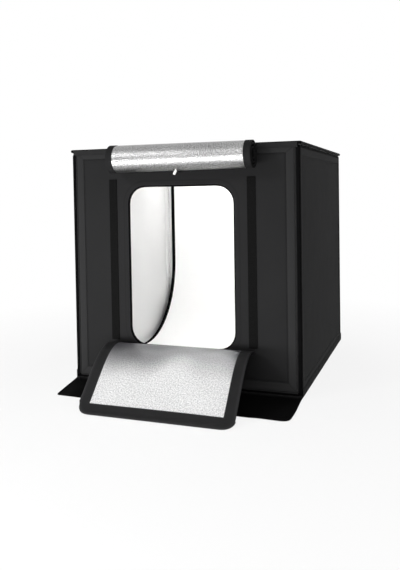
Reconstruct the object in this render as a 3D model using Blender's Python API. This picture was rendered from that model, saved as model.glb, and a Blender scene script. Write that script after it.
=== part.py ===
"""A fold-flat light tent cube for small product photographs.

Six board-stiffened fabric panels make a cube: the base lies on the table, the two side walls and
the back wall stand on its edges, the top panel hangs on the back wall and the front wall hangs on
the top panel. The front wall has a window with a rolled upper flap and a draped lower flap. Two
lamp bars hang inside under the top panel, and a white backdrop sheet sweeps from the back wall
down onto the base.

Metres, +Z up, +X to the right and +Y to the back. The origin is the centre of the base's underside.
"""
import math

import bmesh
import bpy
from mathutils import Vector

# The cube's outer sizes
TENT_WIDTH = 0.400
TENT_DEPTH = 0.420
TENT_HEIGHT = 0.400
FIT_GAP = 0.0003

# A panel is a lining, a board and a cover in a stack, inside a bound edge
LINING_THICKNESS = 0.0006
BOARD_THICKNESS = 0.0028
COVER_THICKNESS = 0.0010
BINDING_DEPTH = 0.0030
BINDING_BULGE = 0.0020
HEM_WIDTH = 0.0170
HEM_RISE = 0.0005
PANEL_CORNER = 0.0060
BASE_CORNER = 0.0120
TOP_CORNER = 0.0040
BASE_INSET = 0.0030
TOP_OVERHANG = 0.0030

# The window in the front wall, and the strips that hold its flaps shut
WINDOW_WIDTH = 0.183
WINDOW_BOTTOM = 0.0680
WINDOW_TOP_MARGIN = 0.0670
WINDOW_CORNER = 0.028
WINDOW_BINDING = 0.0025
STRIP_WIDTH = 0.014
STRIP_SPACING = 0.244
STRIP_BOTTOM = 0.073
STRIP_TOP_MARGIN = 0.053
STRIP_THICKNESS = 0.0008

# The lower flap: a cut sheet, draped over the lip and down to the table
FLAP_WIDTH = 0.250
FLAP_HINGE_HEIGHT = 0.0660
FLAP_HINGE_REACH = 0.0018
FLAP_ROOT_GAP = 0.0006
FLAP_REACH = 0.1671
FLAP_TIP_HEIGHT = 0.0016
FLAP_ROOT_HANDLE_OUT = 0.0649
FLAP_ROOT_HANDLE_UP = 0.0371
FLAP_TIP_HANDLE_OUT = 0.0342
FLAP_TIP_LEFT = 0.1091
FLAP_TIP_RIGHT = 0.1374
FLAP_CORNER_LEFT = 0.026
FLAP_CORNER_RIGHT = 0.020
FLAP_BINDING = 0.018
FLAP_END_BINDING = 0.024
FLAP_SEAM_BINDING = 0.0030
FOIL_THICKNESS = 0.0010
FLAP_BINDING_THICKNESS = 0.0014
FLAP_FOLD_SHARE = 0.48

# The upper flap: rolled up from its free end, silver side out
ROLL_RADIUS = 0.0225
ROLL_CORE = 0.0080
ROLL_TURNS = 3.25
ROLL_DROP = 0.0210
ROLL_WIDTH = 0.244
ROLL_SHIFT = 0.0107
ROLL_BINDING = 0.011
ROLL_WALL_GAP = 0.0010
ROLL_SEAM_DROP = 0.0012
TOGGLE_LENGTH = 0.0100
TOGGLE_RADIUS = 0.0021
TOGGLE_SHIFT = 0.0099
TOGGLE_TILT_DEGREES = 27
TOGGLE_FORWARD_DEGREES = 34
PEG_END_SHARE = 0.6

# The lip, a loose cloth edge that lies on the table in front of the base
LIP_LENGTH = 0.115
LIP_CORNER = 0.015
LIP_FLARE = 0.0035
LIP_LEFT_CORNER = 0.005
LIP_LEFT_LEAN = 0.021
LIP_LEFT_RISE = 0.012
LIP_THICKNESS = 0.0012

# Hook strips inside the vertical corners
TAB_WIDTH = 0.018
TAB_THICKNESS = 0.0007
TAB_END_MARGIN = 0.045

# The backdrop sheet, its sweep and the strip that it hangs on
BACKDROP_SIDE_MARGIN = 0.009
BACKDROP_TOP_MARGIN = 0.050
BACKDROP_THICKNESS = 0.0006
BACKDROP_SWEEP = 0.160
BACKDROP_FRONT_MARGIN = 0.012
PAD_THICKNESS = 0.0008
BACKDROP_STRIP_MARGIN = 0.021
BACKDROP_STRIP_HEIGHT = 0.014

# The opening in the top panel and its cover flap
PORT_DIAMETER = 0.110
PORT_BINDING = 0.004
PORT_FLAP_WIDTH = 0.140
PORT_FLAP_THICKNESS = 0.0014
PORT_FLAP_CORNER = 0.012
PORT_TAB_WIDTH = 0.022
PORT_TAB_LENGTH = 0.016

# The two lamp bars under the top panel
LIGHT_END_MARGIN = 0.030
LIGHT_WIDTH = 0.018
LIGHT_HEIGHT = 0.009
LIGHT_WALL = 0.0015
LIGHT_PANEL_MARGIN = 0.082
LIGHT_BOARD_THICKNESS = 0.0012
DIFFUSER_THICKNESS = 0.0016
CHIP_SIZE = 0.0028
CHIP_HEIGHT = 0.0009
CHIP_PITCH = 0.0100
LIGHT_CAP_LENGTH = 0.0030
INLET_RADIUS = 0.0034
INLET_BORE_RADIUS = 0.0020
INLET_LENGTH = 0.0070

# The grommet that a lamp lead passes through
GROMMET_BORE_RADIUS = 0.0065
GROMMET_SLEEVE = 0.0015
GROMMET_FLANGE = 0.0040
GROMMET_FLANGE_THICKNESS = 0.0006
GROMMET_SIDE_MARGIN = 0.0347
GROMMET_HEM_MARGIN = 0.0010

# Counts that set how finely curves are drawn
CORNER_STEPS = 4
BULGE_STEPS = 4
WINDOW_STEPS = 6
PORT_SIDES = 40
CURVE_POINTS = 120
FLAP_ROWS = 14
TIP_ROWS = 6
ROLL_STEPS_PER_TURN = 20
ROLL_BORDER_ROWS = 4
SWEEP_STEPS = 12
RING_SIDES = 24

# Sizes worked out from the ones above
PANEL = LINING_THICKNESS + BOARD_THICKNESS + COVER_THICKNESS + 2 * FIT_GAP
WALL_BOTTOM = PANEL + FIT_GAP
WALL_TOP = TENT_HEIGHT - PANEL - FIT_GAP
FRONT = -TENT_DEPTH / 2
BACK = TENT_DEPTH / 2
SIDE = TENT_WIDTH / 2
INNER_SIDE = SIDE - PANEL
BETWEEN_SIDES = INNER_SIDE - FIT_GAP
INNER_FRONT = FRONT + PANEL
INNER_BACK = BACK - PANEL
FLOOR_TOP = PANEL
CEILING = TENT_HEIGHT - PANEL
HANG_LINE = FRONT - TOP_OVERHANG - ROLL_SEAM_DROP / 2
WINDOW_TOP = TENT_HEIGHT - WINDOW_TOP_MARGIN
BACKDROP_TOP = TENT_HEIGHT - BACKDROP_TOP_MARGIN
BACKDROP_HALF = INNER_SIDE - BACKDROP_SIDE_MARGIN
LIGHT_HALF = INNER_SIDE - LIGHT_END_MARGIN
LIGHT_PLACE = BACK - LIGHT_PANEL_MARGIN
GROMMET_X = BETWEEN_SIDES - GROMMET_SIDE_MARGIN

# The hinge line of each body, as a point on it
PIVOTS = {
    "base": Vector((0, 0, 0)),
    "left_wall": Vector((-SIDE, 0, 0)),
    "right_wall": Vector((SIDE, 0, 0)),
    "back_wall": Vector((0, BACK, 0)),
    "top_panel": Vector((0, BACK, TENT_HEIGHT)),
    "port_flap": Vector((0, PORT_FLAP_WIDTH / 2, TENT_HEIGHT + PORT_FLAP_THICKNESS)),
    "front_wall": Vector((0, HANG_LINE, TENT_HEIGHT)),
    "upper_flap": Vector((0, HANG_LINE, TENT_HEIGHT)),
    "lower_flap": Vector((0, FRONT - FLAP_HINGE_REACH, FLAP_HINGE_HEIGHT)),
    "lip": Vector((0, FRONT + BASE_INSET, LIP_THICKNESS)),
}
PARENTS = {
    "left_wall": "base", "right_wall": "base", "back_wall": "base", "lip": "base",
    "top_panel": "back_wall", "port_flap": "top_panel", "front_wall": "top_panel",
    "upper_flap": "front_wall", "lower_flap": "front_wall", "lower_flap_end": "lower_flap",
}


def material(name, colour, roughness, metallic=0.0, glow=0.0):
    """A Principled material; glow lights the lamp pieces."""
    made = bpy.data.materials.new(name)
    made.use_nodes = True
    shader = made.node_tree.nodes["Principled BSDF"]
    shader.inputs["Base Color"].default_value = (*colour, 1)
    shader.inputs["Roughness"].default_value = roughness
    shader.inputs["Metallic"].default_value = metallic
    if glow:
        shader.inputs["Emission Color"].default_value = (*colour, 1)
        shader.inputs["Emission Strength"].default_value = glow
    made.diffuse_color = (*colour, 1)
    return made


def black_cloth():
    return material("black_cloth", (0.030, 0.030, 0.031), 0.72)


def binding_tape():
    return material("binding_tape", (0.016, 0.016, 0.017), 0.60)


def loop_strip():
    return material("loop_strip", (0.006, 0.006, 0.006), 0.90)


def silver_lining():
    return material("silver_lining", (0.78, 0.78, 0.78), 0.38, 0.6)


def silver_foil():
    return material("silver_foil", (0.72, 0.72, 0.71), 0.33, 0.9)


def grey_board():
    return material("grey_board", (0.33, 0.30, 0.26), 0.85)


def white_sheet():
    return material("white_sheet", (0.90, 0.90, 0.90), 0.55)


def bar_aluminium():
    return material("bar_aluminium", (0.66, 0.67, 0.68), 0.35, 1.0)


def circuit_board():
    return material("circuit_board", (0.80, 0.80, 0.78), 0.50)


def light_chip():
    return material("light_chip", (0.95, 0.88, 0.60), 0.40, 0.0, 1.0)


def diffuser_white():
    return material("diffuser_white", (0.93, 0.93, 0.93), 0.45, 0.0, 1.0)


def black_plastic():
    return material("black_plastic", (0.012, 0.012, 0.012), 0.45)


def soft_rubber():
    return material("soft_rubber", (0.014, 0.014, 0.014), 0.70)


def toggle_white():
    return material("toggle_white", (0.88, 0.88, 0.86), 0.40)


class Face:
    """A working plane on a panel: u and v run along it, and w leaves its inner side outwards."""

    def __init__(self, origin, u_axis, v_axis, out_axis):
        self.origin = Vector(origin)
        self.u_axis = Vector(u_axis)
        self.v_axis = Vector(v_axis)
        self.out_axis = Vector(out_axis)

    def point(self, u, v, w):
        return self.origin + u * self.u_axis + v * self.v_axis + w * self.out_axis


BASE_FACE = Face((0, 0, FLOOR_TOP), (1, 0, 0), (0, 1, 0), (0, 0, -1))
TOP_FACE = Face((0, 0, CEILING), (1, 0, 0), (0, 1, 0), (0, 0, 1))
LEFT_FACE = Face((-INNER_SIDE, 0, 0), (0, 1, 0), (0, 0, 1), (-1, 0, 0))
RIGHT_FACE = Face((INNER_SIDE, 0, 0), (0, 1, 0), (0, 0, 1), (1, 0, 0))
FRONT_FACE = Face((0, INNER_FRONT, 0), (1, 0, 0), (0, 0, 1), (0, -1, 0))
BACK_FACE = Face((0, INNER_BACK, 0), (1, 0, 0), (0, 0, 1), (0, 1, 0))


def rectangle(low_u, high_u, low_v, high_v, radius, inset=0.0, steps=CORNER_STEPS):
    """The outline of a rounded rectangle, anticlockwise, drawn in by inset all round."""
    radius = max(radius - inset, FIT_GAP)
    low_u, high_u = low_u + inset, high_u - inset
    low_v, high_v = low_v + inset, high_v - inset
    corners = (
        (high_u - radius, low_v + radius, -90),
        (high_u - radius, high_v - radius, 0),
        (low_u + radius, high_v - radius, 90),
        (low_u + radius, low_v + radius, 180),
    )
    outline = []
    for centre_u, centre_v, start in corners:
        for step in range(steps + 1):
            angle = math.radians(start + 90 * step / steps)
            outline.append((centre_u + radius * math.cos(angle), centre_v + radius * math.sin(angle)))
    return outline


def circle(centre_u, centre_v, radius, sides=RING_SIDES):
    turns = [math.tau * side / sides for side in range(sides)]
    return [(centre_u + radius * math.cos(turn), centre_v + radius * math.sin(turn)) for turn in turns]


def ring(mesh, face, outline, w):
    return [mesh.verts.new(face.point(u, v, w)) for u, v in outline]


def join_rings(mesh, rings, closed=False):
    """Quads between each ring and the next, and from the last to the first if closed."""
    pairs = list(zip(rings, rings[1:]))
    if closed:
        pairs.append((rings[-1], rings[0]))
    for first, second in pairs:
        count = len(first)
        for index in range(count):
            after = (index + 1) % count
            mesh.faces.new((first[index], first[after], second[after], second[index]))


def ring_edges(mesh, loop):
    return [mesh.edges.get((loop[index - 1], loop[index])) for index in range(len(loop))]


def build_bodies():
    """One empty on each hinge line, each under the empty of the body that carries it."""
    empties = {}
    for body, pivot in PIVOTS.items():
        empty = bpy.data.objects.new(body + "_pivot", None)
        empty.empty_display_size = HEM_WIDTH
        bpy.context.scene.collection.objects.link(empty)
        empties[body] = empty
    for body, parent in PARENTS.items():
        empties[body].parent = empties[parent]
    for body, pivot in PIVOTS.items():
        parent = PARENTS.get(body)
        empties[body].location = pivot - PIVOTS[parent] if parent else pivot
    return empties


def make_node(name, body, mesh, finish, smooth_degrees=0):
    """Turn a bmesh in row coordinates into a named piece under its body's empty."""
    bmesh.ops.recalc_face_normals(mesh, faces=mesh.faces)
    bmesh.ops.translate(mesh, verts=mesh.verts, vec=-PIVOTS[body])
    data = bpy.data.meshes.new(name)
    mesh.to_mesh(data)
    mesh.free()
    data.materials.append(finish())
    if smooth_degrees:
        data.shade_smooth()
        data.set_sharp_from_angle(angle=math.radians(smooth_degrees))
    node = bpy.data.objects.new(name, data)
    node.parent = EMPTIES[body]
    bpy.context.scene.collection.objects.link(node)
    return node


def add_slab(mesh, face, stations, holes=()):
    """A closed flat solid: stations and each hole are (outline, w) pairs from inside to outside."""
    rings = [ring(mesh, face, outline, w) for outline, w in stations]
    join_rings(mesh, rings)
    inner_edges = ring_edges(mesh, rings[0])
    outer_edges = ring_edges(mesh, rings[-1])
    for hole in holes:
        hole_rings = [ring(mesh, face, outline, w) for outline, w in hole]
        join_rings(mesh, hole_rings)
        inner_edges += ring_edges(mesh, hole_rings[0])
        outer_edges += ring_edges(mesh, hole_rings[-1])
    for edges in (inner_edges, outer_edges):
        bmesh.ops.triangle_fill(mesh, use_beauty=True, use_dissolve=False, edges=edges)


def slab(name, body, face, stations, finish, holes=()):
    mesh = bmesh.new()
    add_slab(mesh, face, stations, holes)
    return make_node(name, body, mesh, finish)


def add_block(mesh, low, high):
    """A plain box between two corners."""
    corners = bmesh.ops.create_cube(mesh, size=1)["verts"]
    for vertex in corners:
        shares = [coordinate + 0.5 for coordinate in vertex.co]
        vertex.co = [a + (b - a) * share for a, b, share in zip(low, high, shares)]


def block(name, body, low, high, finish):
    mesh = bmesh.new()
    add_block(mesh, low, high)
    return make_node(name, body, mesh, finish)


def bound_edge(name, body, face, outline_at, depth, finish, proud=0.0):
    """A tape folded over an edge: half round outside, flat where it meets the panel."""
    section = [(depth, -proud)]
    for step in range(BULGE_STEPS + 1):
        angle = math.radians(-90 + 180 * step / BULGE_STEPS)
        rise = (PANEL / 2 + proud) * math.sin(angle)
        bulge = min(BINDING_BULGE, depth) * (1 - math.cos(angle))
        section.append((bulge, PANEL / 2 + rise))
    section.append((depth, PANEL + proud))
    mesh = bmesh.new()
    rings = [ring(mesh, face, outline_at(distance), w) for distance, w in section]
    join_rings(mesh, rings, closed=True)
    return make_node(name, body, mesh, finish, smooth_degrees=50)


def panel(body, face, low_u, high_u, low_v, high_v, corner=PANEL_CORNER, openings=(), hem=True):
    """The four pieces of one panel; an opening is a function that gives its outline at a gap."""
    def outline(inset):
        return rectangle(low_u, high_u, low_v, high_v, corner, inset)

    stack = BINDING_DEPTH + FIT_GAP
    holes = [opening(FIT_GAP) for opening in openings]
    board_low = LINING_THICKNESS + FIT_GAP
    board_high = board_low + BOARD_THICKNESS
    cover_low = board_high + FIT_GAP

    def through(low, high):
        return [[(hole, low), (hole, high)] for hole in holes]

    slab(body + "_lining", body, face, [(outline(stack), 0), (outline(stack), LINING_THICKNESS)],
         silver_lining, through(0, LINING_THICKNESS))
    slab(body + "_board", body, face, [(outline(stack), board_low), (outline(stack), board_high)],
         grey_board, through(board_low, board_high))
    field = PANEL - HEM_RISE if hem else PANEL
    stations = [(outline(stack), cover_low), (outline(stack), PANEL)]
    if hem:
        stations += [(outline(HEM_WIDTH), PANEL), (outline(HEM_WIDTH), field)]
    slab(body + "_cover", body, face, stations, black_cloth, through(cover_low, field))
    bound_edge(body + "_binding", body, face, outline, BINDING_DEPTH, binding_tape)


def grid_solid(mesh, low_rows, high_rows, keep=None):
    """A closed sheet from two grids of points; keep picks the cells that are cloth."""
    rows, columns = len(low_rows) - 1, len(low_rows[0]) - 1
    made = {}

    def vertex(side, row, column):
        key = (side, row, column)
        if key not in made:
            grid = high_rows if side else low_rows
            made[key] = mesh.verts.new(grid[row][column])
        return made[key]

    def kept(row, column):
        inside = 0 <= row < rows and 0 <= column < columns
        return inside and (keep is None or keep(row, column))

    for row in range(rows):
        for column in range(columns):
            if not kept(row, column):
                continue
            corners = ((row, column), (row, column + 1), (row + 1, column + 1), (row + 1, column))
            neighbours = ((row - 1, column), (row, column + 1), (row + 1, column), (row, column - 1))
            for side in (0, 1):
                mesh.faces.new([vertex(side, *corner) for corner in corners])
            for index, neighbour in enumerate(neighbours):
                if not kept(*neighbour):
                    first, second = corners[index], corners[(index + 1) % 4]
                    mesh.faces.new((vertex(0, *first), vertex(0, *second),
                                    vertex(1, *second), vertex(1, *first)))


def path_normals(path):
    """Unit normals of a (y, z) path, to the left of its direction."""
    normals = []
    for index in range(len(path)):
        before = path[max(index - 1, 0)]
        after = path[min(index + 1, len(path) - 1)]
        along_y, along_z = after[0] - before[0], after[1] - before[1]
        length = math.hypot(along_y, along_z)
        normals.append((-along_z / length, along_y / length))
    return normals


def offset_rows(path, columns_at, offset):
    """Rows of points across a path, moved along its normals by offset."""
    rows = []
    for index, ((y, z), (normal_y, normal_z)) in enumerate(zip(path, path_normals(path))):
        row_y, row_z = y + offset * normal_y, z + offset * normal_z
        rows.append([Vector((x, row_y, row_z)) for x in columns_at(index)])
    return rows


def build_base():
    half_x, half_y = SIDE - BASE_INSET, BACK - BASE_INSET
    panel("base", BASE_FACE, -half_x, half_x, -half_y, half_y, corner=BASE_CORNER, hem=False)


def soft_corner(before, corner, after, reach):
    """Points that round a corner, from one reach before it to one reach after it."""
    start_share, end_share = reach / math.dist(corner, before), reach / math.dist(corner, after)
    start = [mid + (end - mid) * start_share for mid, end in zip(corner, before)]
    finish = [mid + (end - mid) * end_share for mid, end in zip(corner, after)]
    points = []
    for step in range(2 * CORNER_STEPS + 1):
        share = step / (2 * CORNER_STEPS)
        weights = ((1 - share) ** 2, 2 * share * (1 - share), share ** 2)
        points.append(tuple(sum(weight * place[axis] for weight, place
                                in zip(weights, (start, corner, finish))) for axis in (0, 1)))
    return points


def build_lip():
    """The cloth edge in front of the base: nearly pointed at its left, rounded at its right."""
    root = FRONT + BASE_INSET - FIT_GAP
    tip = FRONT + BASE_INSET - LIP_LENGTH
    root_left, root_right = (-SIDE, root), (SIDE, root)
    left, right = (LIP_LEFT_LEAN - SIDE, tip + LIP_LEFT_RISE), (SIDE + LIP_FLARE, tip)
    outline = [root_left]
    outline += soft_corner(root_left, left, right, LIP_LEFT_CORNER)
    outline += soft_corner(left, right, root_right, LIP_CORNER)
    outline.append(root_right)
    lying = Face((0, 0, 0), (1, 0, 0), (0, 1, 0), (0, 0, 1))
    slab("front_lip", "lip", lying, [(outline, 0), (outline, LIP_THICKNESS)], black_cloth)


def build_side_walls():
    for body, face in (("left_wall", LEFT_FACE), ("right_wall", RIGHT_FACE)):
        panel(body, face, FRONT, BACK, WALL_BOTTOM, WALL_TOP)


def grommet_height():
    """The grommet's centre, just below the back wall's hem."""
    outer_radius = GROMMET_BORE_RADIUS + GROMMET_SLEEVE + GROMMET_FLANGE
    return WALL_TOP - HEM_WIDTH - GROMMET_HEM_MARGIN - outer_radius


def grommet_outline(gap):
    return circle(GROMMET_X, grommet_height(), GROMMET_BORE_RADIUS + GROMMET_SLEEVE + gap)


def build_back_wall():
    panel("back_wall", BACK_FACE, -BETWEEN_SIDES, BETWEEN_SIDES, WALL_BOTTOM, WALL_TOP,
          openings=[grommet_outline])
    outside = GROMMET_BORE_RADIUS + GROMMET_SLEEVE
    flange = outside + GROMMET_FLANGE
    inner_seat = -FIT_GAP
    outer_seat = PANEL - HEM_RISE + FIT_GAP
    inner_face = inner_seat - GROMMET_FLANGE_THICKNESS
    outer_face = outer_seat + GROMMET_FLANGE_THICKNESS
    section = [
        (GROMMET_BORE_RADIUS, inner_face), (flange, inner_face), (flange, inner_seat),
        (outside, inner_seat), (outside, outer_seat), (flange, outer_seat),
        (flange, outer_face), (GROMMET_BORE_RADIUS, outer_face),
    ]
    mesh = bmesh.new()
    rings = [ring(mesh, BACK_FACE, circle(GROMMET_X, grommet_height(), radius), w)
             for radius, w in section]
    join_rings(mesh, rings, closed=True)
    make_node("cable_grommet", "back_wall", mesh, soft_rubber, smooth_degrees=50)


def build_tabs(body, inner, direction):
    """The two hook strips that fold in from a wall and grip the side walls."""
    root = inner + direction * FIT_GAP
    reach_y = sorted((root, root + direction * TAB_WIDTH))
    for name, side in (("_left_tab", -1), ("_right_tab", 1)):
        reach_x = sorted((side * BETWEEN_SIDES, side * (BETWEEN_SIDES - TAB_THICKNESS)))
        low = (reach_x[0], reach_y[0], WALL_BOTTOM + TAB_END_MARGIN)
        high = (reach_x[1], reach_y[1], WALL_TOP - TAB_END_MARGIN)
        block(body + name, body, low, high, loop_strip)


def port_outline(gap):
    return circle(0, 0, PORT_DIAMETER / 2 + PORT_BINDING + gap, PORT_SIDES)


def build_top_panel():
    half_x = SIDE + TOP_OVERHANG
    panel("top_panel", TOP_FACE, -half_x, half_x, FRONT - TOP_OVERHANG, BACK,
          corner=TOP_CORNER, openings=[port_outline])
    bound_edge("port_rim", "top_panel", TOP_FACE,
               lambda distance: circle(0, 0, PORT_DIAMETER / 2 + distance, PORT_SIDES),
               PORT_BINDING, binding_tape)


def build_port_flap():
    half = PORT_FLAP_WIDTH / 2
    outline = rectangle(-half, half, -half, half, PORT_FLAP_CORNER)
    low = PANEL + FIT_GAP
    slab("port_flap_cloth", "port_flap", TOP_FACE,
         [(outline, low), (outline, low + PORT_FLAP_THICKNESS)], black_cloth)
    tab_low = low + PORT_FLAP_THICKNESS + FIT_GAP
    tab_front = -half - PORT_TAB_LENGTH / 2
    tab = rectangle(-PORT_TAB_WIDTH / 2, PORT_TAB_WIDTH / 2, tab_front, tab_front + PORT_TAB_LENGTH,
                    PORT_FLAP_THICKNESS)
    slab("port_flap_tab", "port_flap", TOP_FACE,
         [(tab, tab_low), (tab, tab_low + STRIP_THICKNESS)], loop_strip)


def window_outline(gap):
    half = WINDOW_WIDTH / 2
    return rectangle(-half, half, WINDOW_BOTTOM, WINDOW_TOP, WINDOW_CORNER,
                     inset=-gap, steps=WINDOW_STEPS)


def build_front_wall():
    panel("front_wall", FRONT_FACE, -BETWEEN_SIDES, BETWEEN_SIDES, WALL_BOTTOM, WALL_TOP,
          openings=[lambda gap: window_outline(WINDOW_BINDING + gap)])
    bound_edge("window_binding", "front_wall", FRONT_FACE, window_outline, WINDOW_BINDING, binding_tape)
    for name, side in (("left_window_strip", -1), ("right_window_strip", 1)):
        centre = side * STRIP_SPACING / 2
        outline = rectangle(centre - STRIP_WIDTH / 2, centre + STRIP_WIDTH / 2, STRIP_BOTTOM,
                            TENT_HEIGHT - STRIP_TOP_MARGIN, STRIP_THICKNESS)
        low = PANEL - HEM_RISE + FIT_GAP
        slab(name, "front_wall", FRONT_FACE, [(outline, low), (outline, low + STRIP_THICKNESS)],
             loop_strip)


def roll_centre():
    return FRONT - ROLL_WALL_GAP - ROLL_RADIUS, TENT_HEIGHT - ROLL_DROP


def roll_radius(turn):
    """The radius of the roll's silver face after some turns from its back."""
    return ROLL_RADIUS - (ROLL_RADIUS - ROLL_CORE) * turn / ROLL_TURNS


def roll_path():
    """The silver face of the rolled flap: down from its seam, then round and in towards the core."""
    centre_y, centre_z = roll_centre()
    seam = (HANG_LINE, TENT_HEIGHT - ROLL_SEAM_DROP)
    back = (centre_y + ROLL_RADIUS, centre_z)
    path = [seam, ((seam[0] + back[0]) / 2, (seam[1] + back[1]) / 2)]
    steps = round(ROLL_TURNS * ROLL_STEPS_PER_TURN)
    for step in range(steps + 1):
        turn = ROLL_TURNS * step / steps
        angle = -math.tau * turn
        path.append((centre_y + roll_radius(turn) * math.cos(angle),
                     centre_z + roll_radius(turn) * math.sin(angle)))
    return path


def roll_gap():
    """The least gap between one turn of the roll and the next, measured on its points."""
    silver = roll_path()[2:]
    turns_apart = range(ROLL_STEPS_PER_TURN, len(silver))
    return min(math.dist(silver[index], silver[index - ROLL_STEPS_PER_TURN])
               for index in turns_apart) - FLAP_BINDING_THICKNESS


def build_upper_flap():
    path = roll_path()
    edge_left, edge_right = ROLL_SHIFT - ROLL_WIDTH / 2, ROLL_SHIFT + ROLL_WIDTH / 2
    foil_left, foil_right = edge_left + ROLL_BINDING, edge_right - ROLL_BINDING

    def foil_columns(_index):
        return [foil_left + FIT_GAP, foil_right - FIT_GAP]

    def bound_columns(_index):
        return [edge_left, foil_left, foil_right, edge_right]

    border_row = len(path) - 1 - ROLL_BORDER_ROWS
    last_y, last_z = path[border_row]
    before_y, before_z = path[border_row - 1]
    gap_share = FIT_GAP / math.dist(path[border_row], path[border_row - 1])
    foil_end = (last_y + (before_y - last_y) * gap_share, last_z + (before_z - last_z) * gap_share)
    foil_path = path[:border_row] + [foil_end]
    mesh = bmesh.new()
    grid_solid(mesh, offset_rows(foil_path, foil_columns, 0),
               offset_rows(foil_path, foil_columns, -FOIL_THICKNESS))
    make_node("upper_flap_foil", "upper_flap", mesh, silver_foil, smooth_degrees=40)
    lap = (FLAP_BINDING_THICKNESS - FOIL_THICKNESS) / 2
    mesh = bmesh.new()
    grid_solid(mesh, offset_rows(path, bound_columns, lap),
               offset_rows(path, bound_columns, -FOIL_THICKNESS - lap),
               keep=lambda row, column: column != 1 or row >= border_row)
    make_node("upper_flap_binding", "upper_flap", mesh, binding_tape, smooth_degrees=40)


def build_toggle():
    """The small white peg of the tie that holds the roll, under its lower front."""
    centre_y, centre_z = roll_centre()
    forward = math.radians(TOGGLE_FORWARD_DEGREES)
    from_back = math.radians(90) + forward
    rim = TOGGLE_RADIUS * PEG_END_SHARE * math.sin(forward)
    reach = roll_radius(from_back / math.tau) + FIT_GAP + rim
    top = Vector((TOGGLE_SHIFT, centre_y - reach * math.sin(forward),
                  centre_z - reach * math.cos(forward)))
    tilt = math.radians(TOGGLE_TILT_DEGREES)
    along = Vector((-math.sin(tilt), 0, -math.cos(tilt)))
    across = Vector((math.cos(tilt), 0, -math.sin(tilt)))
    peg = Face(top, across, (0, 1, 0), along)
    shoulder = TOGGLE_RADIUS / 2
    ends = ((0, PEG_END_SHARE), (shoulder, 1), (TOGGLE_LENGTH - shoulder, 1),
            (TOGGLE_LENGTH, PEG_END_SHARE))
    mesh = bmesh.new()
    stations = [(circle(0, 0, TOGGLE_RADIUS * share, RING_SIDES // 2), w) for w, share in ends]
    add_slab(mesh, peg, stations)
    make_node("roll_toggle", "upper_flap", mesh, toggle_white, smooth_degrees=50)


def flap_path():
    """The silver face of the draped flap, as one cubic curve from the seam to its tip."""
    root = (FRONT - FLAP_ROOT_GAP, FLAP_HINGE_HEIGHT)
    tip = (FRONT - FLAP_REACH, FLAP_TIP_HEIGHT)
    root_handle = (root[0] - FLAP_ROOT_HANDLE_OUT, root[1] + FLAP_ROOT_HANDLE_UP)
    tip_handle = (tip[0] + FLAP_TIP_HANDLE_OUT, tip[1])
    path = []
    for point in range(CURVE_POINTS + 1):
        share = point / CURVE_POINTS
        rest = 1 - share
        weights = (rest ** 3, 3 * rest ** 2 * share, 3 * rest * share ** 2, share ** 3)
        controls = (root, root_handle, tip_handle, tip)
        path.append(tuple(sum(weight * control[axis] for weight, control in zip(weights, controls))
                          for axis in (0, 1)))
    return path


def path_length(path):
    return sum(math.dist(before, after) for before, after in zip(path, path[1:]))


def point_along(path, distance):
    """The point at a distance along a path, and the unit normal to the left of the path there."""
    for before, after in zip(path, path[1:]):
        step = math.dist(before, after)
        if distance <= step or after is path[-1]:
            break
        distance -= step
    share = distance / step
    along_y, along_z = (after[0] - before[0]) / step, (after[1] - before[1]) / step
    point = (before[0] + share * (after[0] - before[0]), before[1] + share * (after[1] - before[1]))
    return point, (-along_z, along_y)


def flap_edge(side, distance, length):
    """Where one side edge of the flap lies at a distance from its seam, with its rounded corner."""
    tip_x = FLAP_TIP_LEFT if side < 0 else FLAP_TIP_RIGHT
    corner = FLAP_CORNER_LEFT if side < 0 else FLAP_CORNER_RIGHT
    half = FLAP_WIDTH / 2 + (tip_x - FLAP_WIDTH / 2) * distance / length
    left_over = max(length - distance, 0)
    if left_over < corner:
        half -= corner - math.sqrt(corner ** 2 - (corner - left_over) ** 2)
    return side * half


def flap_side_binding(side, distance, length):
    """The inner edge of the bound border on one side."""
    straight = FLAP_WIDTH / 2 - FLAP_BINDING
    tip_x = (FLAP_TIP_LEFT if side < 0 else FLAP_TIP_RIGHT) - FLAP_BINDING
    return side * (straight + (tip_x - straight) * distance / length)


def even_rows(start, end):
    return [start + (end - start) * row / FLAP_ROWS for row in range(FLAP_ROWS + 1)]


def tip_rows(start, end):
    """Rows that lie closer together towards the tip, for its rounded corners."""
    return [start + (end - start) * math.sin(math.radians(90 * row / TIP_ROWS))
            for row in range(1, TIP_ROWS + 1)]


def flap_stretch(name, body, field, border, crossed):
    """One stretch of the lower flap: its silver field, and the border rows of its binding.

    crossed says which rows of the border run right across from side to side.
    """
    path = flap_path()
    length = path_length(path)
    lap = (FLAP_BINDING_THICKNESS - FOIL_THICKNESS) / 2

    def rows_of(distances, columns_at, offset):
        rows = []
        for distance in distances:
            (y, z), (normal_y, normal_z) = point_along(path, distance)
            rows.append([Vector((x, y + offset * normal_y, z + offset * normal_z))
                         for x in columns_at(distance)])
        return rows

    def field_columns(distance):
        return [flap_side_binding(-1, distance, length) + FIT_GAP,
                flap_side_binding(1, distance, length) - FIT_GAP]

    def border_columns(distance):
        return [flap_edge(-1, distance, length), flap_side_binding(-1, distance, length),
                flap_side_binding(1, distance, length), flap_edge(1, distance, length)]

    mesh = bmesh.new()
    grid_solid(mesh, rows_of(field, field_columns, 0), rows_of(field, field_columns, FOIL_THICKNESS))
    make_node(name + "_foil", body, mesh, silver_foil, smooth_degrees=40)
    mesh = bmesh.new()
    grid_solid(mesh, rows_of(border, border_columns, -lap),
               rows_of(border, border_columns, FOIL_THICKNESS + lap),
               keep=lambda row, column: column != 1 or crossed(row))
    make_node(name + "_binding", body, mesh, binding_tape, smooth_degrees=40)


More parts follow.
